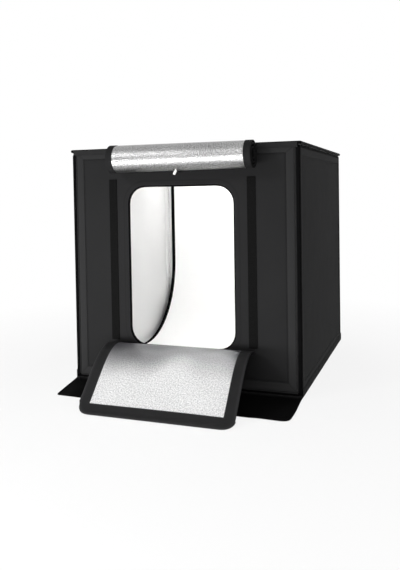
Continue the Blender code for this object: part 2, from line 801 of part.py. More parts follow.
def flap_fold():
    """The line across the middle of the flap, on its upper face, where the cloth bends most."""
    path = flap_path()
    lap = (FLAP_BINDING_THICKNESS - FOIL_THICKNESS) / 2
    (y, z), (normal_y, normal_z) = point_along(path, FLAP_FOLD_SHARE * path_length(path))
    return Vector((0, y - lap * normal_y, z - lap * normal_z))


def build_lower_flap():
    length = path_length(flap_path())
    fold = FLAP_FOLD_SHARE * length
    before, after = fold - FIT_GAP / 2, fold + FIT_GAP / 2
    end_border = length - FLAP_END_BINDING
    flap_stretch("lower_flap", "lower_flap", even_rows(FLAP_SEAM_BINDING + FIT_GAP, before),
                 [0] + even_rows(FLAP_SEAM_BINDING, before), lambda row: row == 0)
    flap_stretch("lower_flap_end", "lower_flap_end", even_rows(after, end_border - FIT_GAP),
                 even_rows(after, end_border) + tip_rows(end_border, length),
                 lambda row: row >= FLAP_ROWS)
    print("lower flap, seam to tip: %.1f mm" % (length * 1000))
    print("upper flap, seam to core: %.1f mm" % (path_length(roll_path()) * 1000))


def backdrop_path():
    """The underside of the backdrop: down the back wall, round its sweep and along the base."""
    back = INNER_BACK - 2 * FIT_GAP - PAD_THICKNESS
    floor = FLOOR_TOP + FIT_GAP
    path = [(back, BACKDROP_TOP)]
    for step in range(SWEEP_STEPS + 1):
        angle = math.radians(90 * step / SWEEP_STEPS)
        path.append((back - BACKDROP_SWEEP * (1 - math.cos(angle)),
                     floor + BACKDROP_SWEEP * (1 - math.sin(angle))))
    path.append((INNER_FRONT + BACKDROP_FRONT_MARGIN, floor))
    return path


def build_backdrop():
    path = backdrop_path()
    print("backdrop, top to front: %.1f mm" % (path_length(path) * 1000))
    middle = 1 + SWEEP_STEPS // 2
    (y, z), (before_y, before_z) = path[middle], path[middle - 1]
    step = math.dist(path[middle], path[middle - 1])
    gap_share = FIT_GAP / step
    above = (y + (before_y - y) * gap_share, z + (before_z - z) * gap_share)
    for name, body, stretch in (("backdrop_wall", "back_wall", path[:middle] + [above]),
                                ("backdrop_floor", "base", path[middle:])):
        mesh = bmesh.new()
        grid_solid(mesh, offset_rows(stretch, lambda _index: (-BACKDROP_HALF, BACKDROP_HALF), 0),
                   offset_rows(stretch, lambda _index: (-BACKDROP_HALF, BACKDROP_HALF),
                               -BACKDROP_THICKNESS))
        make_node(name, body, mesh, white_sheet, smooth_degrees=40)
    strip_half = BACKDROP_HALF - BACKDROP_STRIP_MARGIN
    block("backdrop_strip", "back_wall",
          (-strip_half, INNER_BACK - FIT_GAP - PAD_THICKNESS, BACKDROP_TOP - BACKDROP_STRIP_HEIGHT),
          (strip_half, INNER_BACK - FIT_GAP, BACKDROP_TOP), loop_strip)


def build_light(name, centre_y):
    """One lamp bar: an upturned channel with its circuit board, chips, diffuser, caps and inlet."""
    top = CEILING - 2 * FIT_GAP - PAD_THICKNESS
    bottom = top - LIGHT_HEIGHT
    half_width = LIGHT_WIDTH / 2
    inner = half_width - LIGHT_WALL
    low_y, high_y = centre_y - half_width, centre_y + half_width
    channel = [
        (low_y, bottom), (low_y, top), (high_y, top), (high_y, bottom),
        (centre_y + inner, bottom), (centre_y + inner, top - LIGHT_WALL),
        (centre_y - inner, top - LIGHT_WALL), (centre_y - inner, bottom),
    ]
    across = Face((0, 0, 0), (0, 1, 0), (0, 0, 1), (1, 0, 0))
    slab(name + "_channel", "top_panel", across, [(channel, -LIGHT_HALF), (channel, LIGHT_HALF)],
         bar_aluminium)

    board_top = top - LIGHT_WALL - FIT_GAP
    board_bottom = board_top - LIGHT_BOARD_THICKNESS
    inner -= FIT_GAP
    end = LIGHT_HALF - FIT_GAP
    board = block(name + "_board", "top_panel", (-end, centre_y - inner, board_bottom),
                  (end, centre_y + inner, board_top), circuit_board)
    add_chips(board, centre_y, board_bottom)
    block(name + "_diffuser", "top_panel", (-end, centre_y - inner, bottom),
          (end, centre_y + inner, bottom + DIFFUSER_THICKNESS), diffuser_white)
    block(name + "_pad", "top_panel", (-LIGHT_HALF, low_y, top + FIT_GAP),
          (LIGHT_HALF, high_y, CEILING - FIT_GAP), loop_strip)
    cap_start = LIGHT_HALF + FIT_GAP
    block(name + "_end_cap", "top_panel", (-cap_start - LIGHT_CAP_LENGTH, low_y, bottom),
          (-cap_start, high_y, top), black_plastic)
    add_inlet_cap(name + "_inlet_cap", across, rectangle(low_y, high_y, bottom, top, FIT_GAP, steps=1),
                  circle(centre_y, (top + bottom) / 2, INLET_RADIUS, RING_SIDES // 2),
                  circle(centre_y, (top + bottom) / 2, INLET_BORE_RADIUS, RING_SIDES // 2), cap_start)


def add_chips(board, centre_y, board_bottom):
    """The row of lamp chips, soldered to the underside of their circuit board."""
    count = int((2 * LIGHT_HALF - CHIP_PITCH) / CHIP_PITCH)
    mesh = bmesh.new()
    for index in range(count):
        centre_x = (index - (count - 1) / 2) * CHIP_PITCH
        add_block(mesh, (centre_x - CHIP_SIZE / 2, centre_y - CHIP_SIZE / 2, board_bottom - CHIP_HEIGHT),
                  (centre_x + CHIP_SIZE / 2, centre_y + CHIP_SIZE / 2,
                   board_bottom + LIGHT_BOARD_THICKNESS / 2))
    chips = make_node(board.name + "_chips", "top_panel", mesh, light_chip)
    chips.hide_render = True
    chips.display_type = "WIRE"
    union = board.modifiers.new("chips", "BOOLEAN")
    union.operation = "UNION"
    union.object = chips


def add_inlet_cap(name, face, outline, barrel, bore, start):
    """The end cap with the round inlet that takes the lamp's lead."""
    end = start + LIGHT_CAP_LENGTH
    mesh = bmesh.new()
    plate = [ring(mesh, face, outline, start), ring(mesh, face, outline, end)]
    socket = [ring(mesh, face, barrel, end), ring(mesh, face, barrel, end + INLET_LENGTH),
              ring(mesh, face, bore, end + INLET_LENGTH), ring(mesh, face, bore, end)]
    join_rings(mesh, plate)
    join_rings(mesh, socket)
    for edges in (ring_edges(mesh, plate[0]), ring_edges(mesh, plate[1]) + ring_edges(mesh, socket[0]),
                  ring_edges(mesh, socket[3])):
        bmesh.ops.triangle_fill(mesh, use_beauty=True, use_dissolve=False, edges=edges)
    make_node(name, "top_panel", mesh, black_plastic, smooth_degrees=50)


for old in list(bpy.data.objects):
    bpy.data.objects.remove(old, do_unlink=True)
PIVOTS["lower_flap_end"] = flap_fold()
EMPTIES = build_bodies()
build_base()
build_lip()
build_side_walls()
build_back_wall()
build_tabs("back_wall", INNER_BACK, -1)
build_top_panel()
build_port_flap()
build_front_wall()
build_tabs("front_wall", INNER_FRONT, 1)
build_upper_flap()
build_toggle()
build_lower_flap()
build_backdrop()
build_light("front_light", -LIGHT_PLACE)
build_light("rear_light", LIGHT_PLACE)
print("least gap between the roll's turns: %.1f mm" % (1000 * roll_gap()))
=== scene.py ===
# %% [markdown]
# # A fold-flat light tent cube
#
# The tent is six stiff fabric panels with bound edges. The front one has a window, a rolled upper
# flap and a draped lower flap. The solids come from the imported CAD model, which fixes every size
# and every hinge. This lesson dresses them: soft panel covers, pebbled foil, tape, stitches, the
# white backdrop and the light inside.

# %% Load the frame
import math

import bmesh
import bpy
from mathutils import Matrix, Vector


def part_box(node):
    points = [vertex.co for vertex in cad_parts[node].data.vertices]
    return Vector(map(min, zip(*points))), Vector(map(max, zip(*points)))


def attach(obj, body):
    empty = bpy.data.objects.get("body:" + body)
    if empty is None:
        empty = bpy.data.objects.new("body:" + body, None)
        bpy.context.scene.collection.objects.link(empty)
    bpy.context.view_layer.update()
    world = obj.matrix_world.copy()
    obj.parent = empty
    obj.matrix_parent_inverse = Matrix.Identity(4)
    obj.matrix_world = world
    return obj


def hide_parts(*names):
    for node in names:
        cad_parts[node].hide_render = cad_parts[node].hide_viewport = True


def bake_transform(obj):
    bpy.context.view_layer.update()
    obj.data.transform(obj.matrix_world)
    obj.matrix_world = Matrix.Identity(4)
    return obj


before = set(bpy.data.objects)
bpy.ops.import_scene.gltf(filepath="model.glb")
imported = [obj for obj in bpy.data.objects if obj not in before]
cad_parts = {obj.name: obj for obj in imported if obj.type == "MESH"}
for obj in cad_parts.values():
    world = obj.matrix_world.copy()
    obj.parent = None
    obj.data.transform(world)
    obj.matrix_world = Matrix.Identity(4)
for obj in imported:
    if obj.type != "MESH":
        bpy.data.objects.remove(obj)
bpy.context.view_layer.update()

# %% [markdown]
# ## Camera
#
# The camera stands to the right of the tent at window height. Its place, turn and lens were worked
# out from the corners of the cube in the picture. The small vertical shift keeps the upright edges
# upright while the tent sits low in the frame.

# %% Camera
CAMERA_PLACE = Vector((0.4007, -1.2091, 0.3250))
CAMERA_YAW, CAMERA_PITCH, CAMERA_ROLL = 0.3506, 0.0313, -0.0165
LENS, SENSOR_WIDTH, VERTICAL_SHIFT = 41.32, 36, -0.1288


def add_object(name, data):
    made = bpy.data.objects.new(name, data)
    bpy.context.scene.collection.objects.link(made)
    return made


def build_camera():
    """A camera that looks along its yaw, a little downwards."""
    data = bpy.data.cameras.new("camera")
    data.lens, data.sensor_width, data.shift_y = LENS, SENSOR_WIDTH, VERTICAL_SHIFT
    camera = add_object("camera", data)
    forward = Vector((-math.sin(CAMERA_YAW) * math.cos(CAMERA_PITCH),
                      math.cos(CAMERA_YAW) * math.cos(CAMERA_PITCH), -math.sin(CAMERA_PITCH)))
    level = Vector((math.cos(CAMERA_YAW), math.sin(CAMERA_YAW), 0))
    upright = level.cross(forward)
    right = level * math.cos(CAMERA_ROLL) + upright * math.sin(CAMERA_ROLL)
    up = upright * math.cos(CAMERA_ROLL) - level * math.sin(CAMERA_ROLL)
    turn = Matrix((right, up, -forward)).transposed().to_4x4()
    camera.matrix_world = Matrix.Translation(CAMERA_PLACE) @ turn
    bpy.context.scene.camera = camera
    return camera


camera = build_camera()
bpy.context.scene.view_settings.view_transform = "Standard"
print("camera lens:", round(camera.data.lens, 2), "mm")

# %% [markdown]
# ## Node maths in plain Python
#
# A material is a web of nodes. Writing each Math node by hand hides the idea, so a small class
# wraps a socket: adding or multiplying two of them adds the Math node. The same class serves the
# Geometry Nodes trees, because they use the same Math nodes.

# %% A wire and the tree it runs in
class Wire:
    """One value or colour on its way through a node tree."""

    def __init__(self, web, socket):
        self.web = web
        self.socket = socket

    def maths(self, operation, *values):
        return self.web.node("ShaderNodeMath", {"operation": operation}, dict(enumerate(values)))

    def __add__(self, other):
        return self.maths("ADD", self, other)

    def __sub__(self, other):
        return self.maths("SUBTRACT", self, other)

    def __rsub__(self, other):
        return self.maths("SUBTRACT", other, self)

    def __mul__(self, other):
        return self.maths("MULTIPLY", self, other)

    def __truediv__(self, other):
        return self.maths("DIVIDE", self, other)

    def __rtruediv__(self, other):
        return self.maths("DIVIDE", other, self)

    def __pow__(self, other):
        return self.maths("POWER", self, other)

    def __lt__(self, other):
        return self.maths("LESS_THAN", self, other)

    def __gt__(self, other):
        return self.maths("GREATER_THAN", self, other)

    def __abs__(self):
        return self.maths("ABSOLUTE", self)

    __radd__ = __add__
    __rmul__ = __mul__

    def beside(self, output):
        """Another output of the node that this wire comes from."""
        return Wire(self.web, self.socket.node.outputs[output])

    def sine(self):
        return self.maths("SINE", self)

    def cosine(self):
        return self.maths("COSINE", self)

    def smaller(self, other):
        return self.maths("MINIMUM", self, other)

    def larger(self, other):
        return self.maths("MAXIMUM", self, other)


class Web:
    """A node tree, with one method that adds any node."""

    def __init__(self, tree):
        self.tree = tree

    def feed(self, socket, value):
        if isinstance(value, Wire):
            self.tree.links.new(value.socket, socket)
        else:
            socket.default_value = value

    def node(self, kind, settings=None, values=None, output=0):
        """Add a node: first its settings, then the values or wires of its sockets."""
        made = self.tree.nodes.new(kind)
        for name, setting in (settings or {}).items():
            if name == "stops":
                self.set_stops(made.color_ramp, setting)
            else:
                setattr(made, name, setting)
        for key, value in (values or {}).items():
            self.feed(made.inputs[key], value)
        return Wire(self, made.outputs[output])

    def axis(self, vector, name):
        return self.node("ShaderNodeSeparateXYZ", None, {0: vector}, name)

    def point(self, x, y, z=0.0):
        return self.node("ShaderNodeCombineXYZ", None, {0: x, 1: y, 2: z})

    def set_stops(self, ramp, stops):
        for index, (place, grey) in enumerate(stops):
            stop = ramp.elements[index] if index < 2 else ramp.elements.new(place)
            stop.position = place
            stop.color = (grey, grey, grey, 1)


print("wires ready")

# %% [markdown]
# ## What every finish is made from
#
# Each finish is a Principled shader. The helpers here are the ones that cloth, tape and foil share:
# a place to read the pattern from, noise for slow changes, a mix of two colours, and a bump that
# turns a height into a tilted normal. Cloth reads its own UV map, laid out in metres, so that its
# threads follow the panel. Moulded parts read their place in the object.

# %% The finish class
class Finish(Web):
    """A material on its way: a Principled shader and the wires that feed it."""

    def __init__(self, name, colour, roughness, **constants):
        self.material = bpy.data.materials.new(name)
        self.material.use_nodes = True
        super().__init__(self.material.node_tree)
        self.shader = self.tree.nodes["Principled BSDF"]
        self.set("Base Color", (*colour, 1))
        self.set("Roughness", roughness)
        for socket, value in constants.items():
            self.set(socket.replace("_", " "), value)

    def set(self, socket, value):
        self.feed(self.shader.inputs[socket], value)

    def place(self):
        return self.node("ShaderNodeTexCoord", output="Object")

    def cloth_place(self):
        return self.node("ShaderNodeUVMap", {"uv_map": "cloth"})

    def attribute(self, name):
        return self.node("ShaderNodeAttribute", {"attribute_name": name}, None, "Fac")

    def noise(self, vector, scale, detail=2.0, roughness=0.5):
        return self.node("ShaderNodeTexNoise", None, {
            "Vector": vector, "Scale": scale, "Detail": detail, "Roughness": roughness})

    def cells(self, vector, scale, feature="F1"):
        return self.node("ShaderNodeTexVoronoi", {"feature": feature}, {"Vector": vector, "Scale": scale})

    def ramp(self, value, stops):
        return self.node("ShaderNodeValToRGB", {"stops": stops}, {0: value})

    def blend(self, share, first, second):
        """A colour between two colours."""
        colours = [value if isinstance(value, Wire) else (*value, 1) for value in (first, second)]
        return self.node("ShaderNodeMix", {"data_type": "RGBA"},
                         {0: share, 6: colours[0], 7: colours[1]}, 2)

    def shade(self, colour, amount):
        """A colour made darker or lighter by a wire, through Mix in multiply."""
        first = colour if isinstance(colour, Wire) else (*colour, 1)
        grey = self.node("ShaderNodeCombineColor", None, {0: amount, 1: amount, 2: amount})
        return self.node("ShaderNodeMix", {"data_type": "RGBA", "blend_type": "MULTIPLY"},
                         {0: 1.0, 6: first, 7: grey}, 2)

    def relief(self, height, depth, strength=1.0):
        """Tilt the surface as if it rose by a height, in metres."""
        normal = self.node("ShaderNodeBump", None,
                           {"Height": height, "Distance": depth, "Strength": strength})
        self.set("Normal", normal)

    def coat(self, colour, shade, polish, height, depth, strength):
        """Set the shaded colour, the roughness and the relief; the material is then done."""
        self.set("Base Color", self.shade(colour, shade))
        self.set("Roughness", polish)
        self.relief(height, depth, strength)
        return self.material

    def weave(self, vector, pitch):
        """The over and under of a plain weave, from 0 to 1."""
        across = (self.axis(vector, "X") * (math.pi / pitch)).sine()
        along = (self.axis(vector, "Y") * (math.pi / pitch)).sine()
        return across * along * 0.5 + 0.5


def grained(name, colour, tone, polish, tooth, relief, drift=None, **constants):
    """One colour under a fine tooth; where a slower drift is given, that varies the tone.

    Tone and polish each give a start and what the noise adds to it. Tooth and drift give a noise's
    scale, detail and roughness. Relief gives the tooth's depth in metres and its strength.
    """
    part = Finish(name, colour, polish[0], **constants)
    place = part.place()
    fine = part.noise(place, *tooth)
    slow = part.noise(place, *drift) if drift else fine
    return part.coat(colour, tone[0] + slow * tone[1], polish[0] + fine * polish[1], fine, *relief)


print("finish class ready")

# %% [markdown]
# ## Black panel cloth
#
# The covers are black nylon glued over board. Seen close, it is a plain weave. Seen from afar, it is
# a slow mottle where the glue takes the cloth down more or less, and a few paler fibres. A hem band
# round each panel is painted paler, a painted sheen for the light it catches; its stitch line and
# the mitres at its corners are pressed in and also painted darker, as shade. At the edge of the side
# and back walls the cloth is painted dark, down to the tape's black, as shade at the panel's edge. A
# picture of cloth could show all that, but only at one size; here hem, stitch line and edge come in
# as attributes of the mesh, so the finish knows how far from the edge it is.

# %% Panel cloth
CLOTH_BLACK = (0.0200, 0.0200, 0.0205)
# HEM_BLACK is the paler black: on the hem band it is a painted sheen, and the edge cloth wears it as its
# own colour.
HEM_BLACK = (0.0280, 0.0280, 0.0285)


def panel_cloth():
    cloth = Finish("panel_cloth", CLOTH_BLACK, 0.66, Specular_IOR_Level=0.012)
    place = cloth.cloth_place()
    weave = cloth.weave(place, 0.0011)
    mottle = cloth.noise(place, 9, 4, 0.6)
    fine = cloth.noise(place, 420, 2, 0.7)
    band = cloth.attribute("hem")
    groove = cloth.attribute("groove")
    fold = cloth.attribute("side_gap") - cloth.attribute("end_gap")
    mitre = (1 - (abs(fold) / 0.0009).smaller(1.0)) * band
    # Painted sheen: the hem band takes the paler black, for the light that the raised hem catches.
    base = cloth.blend(band, CLOTH_BLACK, HEM_BLACK)
    light = 0.80 + mottle * 0.22 + weave * 0.12 + fine * 0.10
    # Painted shade: the stitch groove and the hem's mitre lines are darkened in the colour, as well as
    # pressed in by the relief.
    dark = 1 - (groove * 0.45 + mitre * 0.40)
    # Painted shade at the edge of the side and back walls: the cloth darkens to the tape's black.
    painted_edge_shade = cloth.attribute("painted_edge_shade")
    slow = cloth.noise(place, 26, 2, 0.5)
    height = weave * 0.00012 + slow * 0.0011 - groove * 0.0004 - mitre * 0.0005
    return cloth.coat(base, light * dark * (1 - painted_edge_shade * 0.85), 0.58 + mottle * 0.10 + weave * 0.06,
                      height, 1.0, 0.8)


PANEL_CLOTH = panel_cloth()
EDGE_CLOTH = grained("edge_cloth", HEM_BLACK, (0.55, 0.5), (0.6, 0.1), (50, 3, 0.6), (0.0005, 0.6),
                     Specular_IOR_Level=0.012)
print("finishes:", PANEL_CLOTH.name, EDGE_CLOTH.name)

# %% [markdown]
# ## Tape, hook strips and soft parts
#
# Every raw edge is wrapped in ribbed tape. Its ribs are fine ridges 1.3 mm apart, so they are drawn
# as a sine across the tape and not as a mesh. The strips beside the window are hook-and-loop: a mat
# of tiny loops, deeper black than anything round it. The lip is soft, unlined cloth.

# %% Edge tape
TAPE_BLACK = (0.0035, 0.0035, 0.0037)
RIB_PITCH = 0.0013


def edge_tape():
    tape = Finish("edge_tape", TAPE_BLACK, 0.5, Specular_IOR_Level=0.008)
    place = tape.place()
    along = tape.axis(place, "X") + tape.axis(place, "Y") + tape.axis(place, "Z")
    ribs = (along * (math.tau / RIB_PITCH)).sine() * 0.5 + 0.5
    wear = tape.noise(place, 60, 3, 0.6)
    return tape.coat(TAPE_BLACK, 0.6 + ribs * 0.3 + wear * 0.7, 0.42 + wear * 0.2, ribs, 0.00018, 0.7)


EDGE_TAPE = edge_tape()
print("finish:", EDGE_TAPE.name)


# %% Flap border tape
BORDER_BLACK = (0.0165, 0.0165, 0.0170)


def border_tape():
    """The wider woven tape round the two flaps, a little paler than the edge tape."""
    tape = Finish("border_tape", BORDER_BLACK, 0.55, Specular_IOR_Level=0.03)
    place = tape.cloth_place()
    weave = tape.weave(place, 0.0013)
    wear = tape.noise(place, 45, 3, 0.6)
    # Painted highlight: the tape is made paler along its two rounded edges, where light would catch them.
    rim = tape.attribute("rim")
    light = 0.72 + weave * 0.18 + wear * 0.35 + rim * 0.75
    height = weave * 0.00012 + wear * 0.0004
    return tape.coat(BORDER_BLACK, light, 0.48 + wear * 0.16, height, 1.0, 0.8)


BORDER_TAPE = border_tape()
print("finish:", BORDER_TAPE.name)


# %% Hook-and-loop pile
def loop_pile(name, colour, depth):
    pile = Finish(name, colour, 0.95, Specular_IOR_Level=0.05)
    place = pile.place()
    loops = pile.cells(place, 900)
    clumps = pile.noise(place, 140, 3, 0.7)
    light = 1 + (loops * 0.9 + clumps * 0.5 - 0.5) * depth
    return pile.coat(colour, light, 0.85 + clumps * 0.12, loops, 0.0007 * depth, 0.9)


LOOP_PILE = loop_pile("loop_pile", (0.0050, 0.0050, 0.0050), 1.0)
PALE_PILE = loop_pile("pale_loop_pile", (0.72, 0.72, 0.72), 0.2)
print("finishes:", LOOP_PILE.name, PALE_PILE.name)


# %% Lip cloth
LIP_BLACK = (0.0035, 0.0035, 0.0036)
SEAM_BLACK = (0.0160, 0.0160, 0.0162)


def lip_cloth():
    """Unlined black cloth, soft and deep black, with a paler seam where it meets the base."""
    cloth = Finish("lip_cloth", LIP_BLACK, 0.75, Specular_IOR_Level=0.01)
    place = cloth.cloth_place()
    weave = cloth.weave(place, 0.0010)
    mottle = cloth.noise(place, 14, 4, 0.6)
    seam = cloth.attribute("seam")
    tone = cloth.blend(seam, LIP_BLACK, SEAM_BLACK)
    height = weave * 0.00012 + mottle * 0.0008
    return cloth.coat(tone, 0.70 + mottle * 0.40 + weave * 0.20, 0.68 + mottle * 0.12, height, 1.0, 0.8)


LIP_CLOTH = lip_cloth()
print("finish:", LIP_CLOTH.name)

# %% [markdown]
# ## Silver foil
#
# The flaps are faced with silvered film pressed into a fine pebble. Each pebble tilts the mirror a
# little, so the film looks pale and grainy, and not like a mirror. Smooth cells make the pebble, a
# finer noise crumples it, and dark specks between give the sparkle. Towards the draped flap's seam
# the film is pulled smooth, and painted shade darkens its colour there, most at the seam's two
# corners; an attribute of the mesh says where. The roll has a finish of its own for the same film:
# its colour is painted darker, as shade, and its glints are brighter.

# %% Foil
def pebbled_foil(name, pale, deep, seam, metallic, polish, crush=0.0012, slack=0.0016):
    foil = Finish(name, pale, polish, Metallic=metallic)
    place = foil.cloth_place()
    pebble = foil.cells(place, 560, "SMOOTH_F1")
    grain = foil.noise(place, 1300, 2, 0.7)
    patch = foil.noise(place, 16, 4, 0.6)
    smooth_shaded_root = foil.attribute("smooth_shaded_root")
    rough = 1 - (smooth_shaded_root * 1.4).smaller(0.85)
    speck = foil.ramp(foil.noise(place, 480, 3, 0.75), [(0.38, 0.0), (0.60, 1.0)])
    tone = foil.blend(speck * 0.75 + patch * 0.35, deep, pale)
    # Painted shade: towards the flap's seam the colour is blended to the dark seam colour, most at its two
    # corners.
    foil.set("Base Color", foil.blend(smooth_shaded_root, tone, seam))
    foil.set("Roughness", polish - 0.08 + grain * 0.16)
    crumple = foil.noise(place, 430, 2, 0.65)
    height = (pebble * 0.00030 + crumple * crush) * rough + patch * slack
    foil.relief(height, 1.0, 0.85)
    return foil.material


# The third colour is the painted shade near the flap's seam.
FLAP_FOIL = pebbled_foil("flap_foil", (0.84, 0.84, 0.835), (0.34, 0.34, 0.35), (0.10, 0.10, 0.11),
                         metallic=0.55, polish=0.40)
# The roll's colours are the same film painted darker, as shade; it is also more metallic and smoother.
SHADED_ROLL_FOIL = pebbled_foil("roll_foil", (0.50, 0.50, 0.495), (0.08, 0.08, 0.085), (0.3, 0.3, 0.3),
                         metallic=0.95, polish=0.28, crush=0.0007, slack=0.0004)
print("finishes:", FLAP_FOIL.name, SHADED_ROLL_FOIL.name)


# %% Lining, backdrop and board
LINING_SILVER = (0.70, 0.70, 0.70)


def inner_lining():
    """The pale silvered cloth that lines the walls."""
    lining = Finish("inner_lining", LINING_SILVER, 0.5, Metallic=0.25)
    place = lining.place()
    pebble = lining.cells(place, 520, "SMOOTH_F1")
    drift = lining.noise(place, 11, 3, 0.5)
    light = 0.94 + drift * 0.10 + pebble * 0.03
    return lining.coat(LINING_SILVER, light, 0.48 + drift * 0.1, pebble, 0.00025, 0.4)


INNER_LINING = inner_lining()
BACKDROP_SHEET = grained("backdrop_sheet", (0.95, 0.95, 0.95), (0.97, 0.06), (0.55, 0.1), (900, 2, 0.6),
                         (0.00006, 0.5), drift=(5, 2, 0.5))
PANEL_BOARD = grained("panel_board", (0.36, 0.33, 0.29), (0.8, 0.4), (0.78, 0.15), (300, 4, 0.7),
                      (0.0002, 0.5))
# The tape is dull, because the lamps above must not glint on it.
BACKDROP_TAPE = grained("backdrop_tape", (0.004, 0.004, 0.004), (0.7, 0.6), (0.9, 0.1), (700, 3, 0.6),
                        (0.0001, 0.6), Specular_IOR_Level=0.0)
print("finishes:", INNER_LINING.name, BACKDROP_SHEET.name, PANEL_BOARD.name, BACKDROP_TAPE.name)


# %% Lamp bar finishes
BAR_SILVER = (0.68, 0.69, 0.70)
CHIP_WHITE, CHIP_YELLOW, CHIP_HEIGHT = (0.80, 0.80, 0.77), (0.90, 0.72, 0.18), 0.00125
FROST_WHITE, GLOW = (0.93, 0.93, 0.93), (1.0, 0.99, 0.97)
DOT_PITCH = 0.010


def bar_metal():
    metal = Finish("bar_metal", BAR_SILVER, 0.35, Metallic=1.0)
    place = metal.place()
    streak = metal.noise(metal.node("ShaderNodeMapping", None, {
        "Vector": place, "Scale": (4, 400, 400)}), 6, 3, 0.6)
    return metal.coat(BAR_SILVER, 0.85 + streak * 0.25, 0.26 + streak * 0.2, streak, 0.00004, 0.4)


def chip_board():
    """White board above, yellow lamp chips below: the chips are what hangs lower."""
    board = Finish("chip_board", CHIP_WHITE, 0.5)
    place = board.place()
    chip = board.axis(place, "Z") < (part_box("front_light_board")[1].z - CHIP_HEIGHT)
    speck = board.noise(place, 500, 2, 0.5)
    tone = board.blend(chip, CHIP_WHITE, CHIP_YELLOW)
    return board.coat(tone, 0.9 + speck * 0.2, 0.4 + speck * 0.2, speck, 0.00003, 0.3)


def lit_diffuser():
    """Frosted cover of the lamp bar, glowing as when it is on."""
    cover = Finish("lit_diffuser", FROST_WHITE, 0.5, Emission_Strength=32.0)
    place = cover.place()
    dots = (cover.axis(place, "X") * (math.tau / DOT_PITCH)).cosine() * 0.5 + 0.5
    frost = cover.noise(place, 800, 2, 0.5)
    cover.set("Emission Color", cover.shade(GLOW, 0.86 + dots * 0.14))
    cover.set("Base Color", cover.shade(FROST_WHITE, 0.96 + frost * 0.05))
    cover.relief(frost, 0.00005, 0.4)
    return cover.material


BAR_METAL = bar_metal()
CHIP_BOARD = chip_board()
LIT_DIFFUSER = lit_diffuser()
print("finishes:", BAR_METAL.name, CHIP_BOARD.name, LIT_DIFFUSER.name)


# %% Plastic, rubber and thread
def moulded(name, colour, roughness, grain):
    """Moulded plastic or rubber with a fine spark-eroded grain."""
    return grained(name, colour, (0.85, 0.3), (roughness - 0.05, 0.1), (grain, 3, 0.6), (0.00008, 0.5),
                   drift=(30, 2, 0.5), Specular_IOR_Level=0.3)


BLACK_PLASTIC = moulded("black_plastic", (0.012, 0.012, 0.012), 0.42, 900)
SOFT_RUBBER = moulded("soft_rubber", (0.014, 0.014, 0.014), 0.62, 700)
WHITE_PLASTIC = moulded("white_plastic", (0.88, 0.88, 0.86), 0.36, 900)
SEWING_THREAD = grained("sewing_thread", (0.030, 0.030, 0.031), (0.6, 0.8), (0.5, 0.2), (2200, 2, 0.6),
                        (0.00008, 0.6), Specular_IOR_Level=0.2)
print("finishes:", BLACK_PLASTIC.name, SOFT_RUBBER.name, WHITE_PLASTIC.name, SEWING_THREAD.name)

# %% [markdown]
# ## Dress the solids that stay
#
# Most CAD solids already have their true shape: tape, linings, lamp bars, hook strips, grommet. They
# keep their mesh and get a finish by the end of their name.

# %% Finishes for the CAD solids
FINISH_BY_ENDING = (
    ("_lining", INNER_LINING), ("light_board", CHIP_BOARD), ("_board", PANEL_BOARD),
    ("front_wall_binding", EDGE_CLOTH), ("_binding", EDGE_TAPE), ("port_rim", EDGE_TAPE),
    ("wall_left_tab", PALE_PILE), ("wall_right_tab", PALE_PILE), ("_tab", LOOP_PILE),
    ("_strip", LOOP_PILE), ("_pad", LOOP_PILE), ("_channel", BAR_METAL), ("_diffuser", LIT_DIFFUSER),
    ("_cap", BLACK_PLASTIC), ("cable_grommet", SOFT_RUBBER), ("_cover", PANEL_CLOTH),
    ("_foil", FLAP_FOIL), ("roll_toggle", WHITE_PLASTIC), ("front_lip", PANEL_CLOTH),
    ("port_flap_cloth", PANEL_CLOTH), ("backdrop_wall", BACKDROP_SHEET),
    ("backdrop_floor", BACKDROP_SHEET),
)


def dress(name, node):
    """Give a CAD solid the finish of the first ending that its name has."""
    node.data.materials.clear()
    node.data.materials.append(next(made for ending, made in FINISH_BY_ENDING if name.endswith(ending)))


for name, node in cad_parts.items():
    dress(name, node)
print("dressed", len(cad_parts), "solids")

# %% [markdown]
# ## A flat working place on each panel
#
# Every panel is flat, so its pieces are drawn in its own plane: u runs across it, v along it and w
# straight out of its outer face. The plane is read from the panel's bound edge in the frame, so a
# piece lands where the CAD says. The three directions turn right-handed, which keeps faces outward.

# %% Panel planes
class Panel:
    """The plane of one stiff panel: its middle, half sizes, and outward direction.

    The corner is its outline's radius, lift tells how far its upper hem is raised, and the last value
    is 1 where shade is painted on the cloth, darkening it at the edge.
    """

    def __init__(self, body, across, along, corner=0.006, lift=0.0, painted_edge_shade=0.0):
        low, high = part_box(body + "_binding")
        self.corner, self.lift, self.painted_edge_shade = corner, lift, painted_edge_shade
        self.across, self.along = Vector(across), Vector(along)
        self.out = self.across.cross(self.along)
        size = high - low
        self.half_u = abs(size.dot(self.across)) / 2
        self.half_v = abs(size.dot(self.along)) / 2
        self.thickness = abs(size.dot(self.out))
        self.middle = (low + high) / 2 + self.out * self.thickness / 2

    def point(self, u, v, w=0.0):
        return self.middle + self.across * u + self.along * v + self.out * w

    def flat(self, place):
        """The (u, v) of a point in the object."""
        offset = Vector(place) - self.middle
        return offset.dot(self.across), offset.dot(self.along)


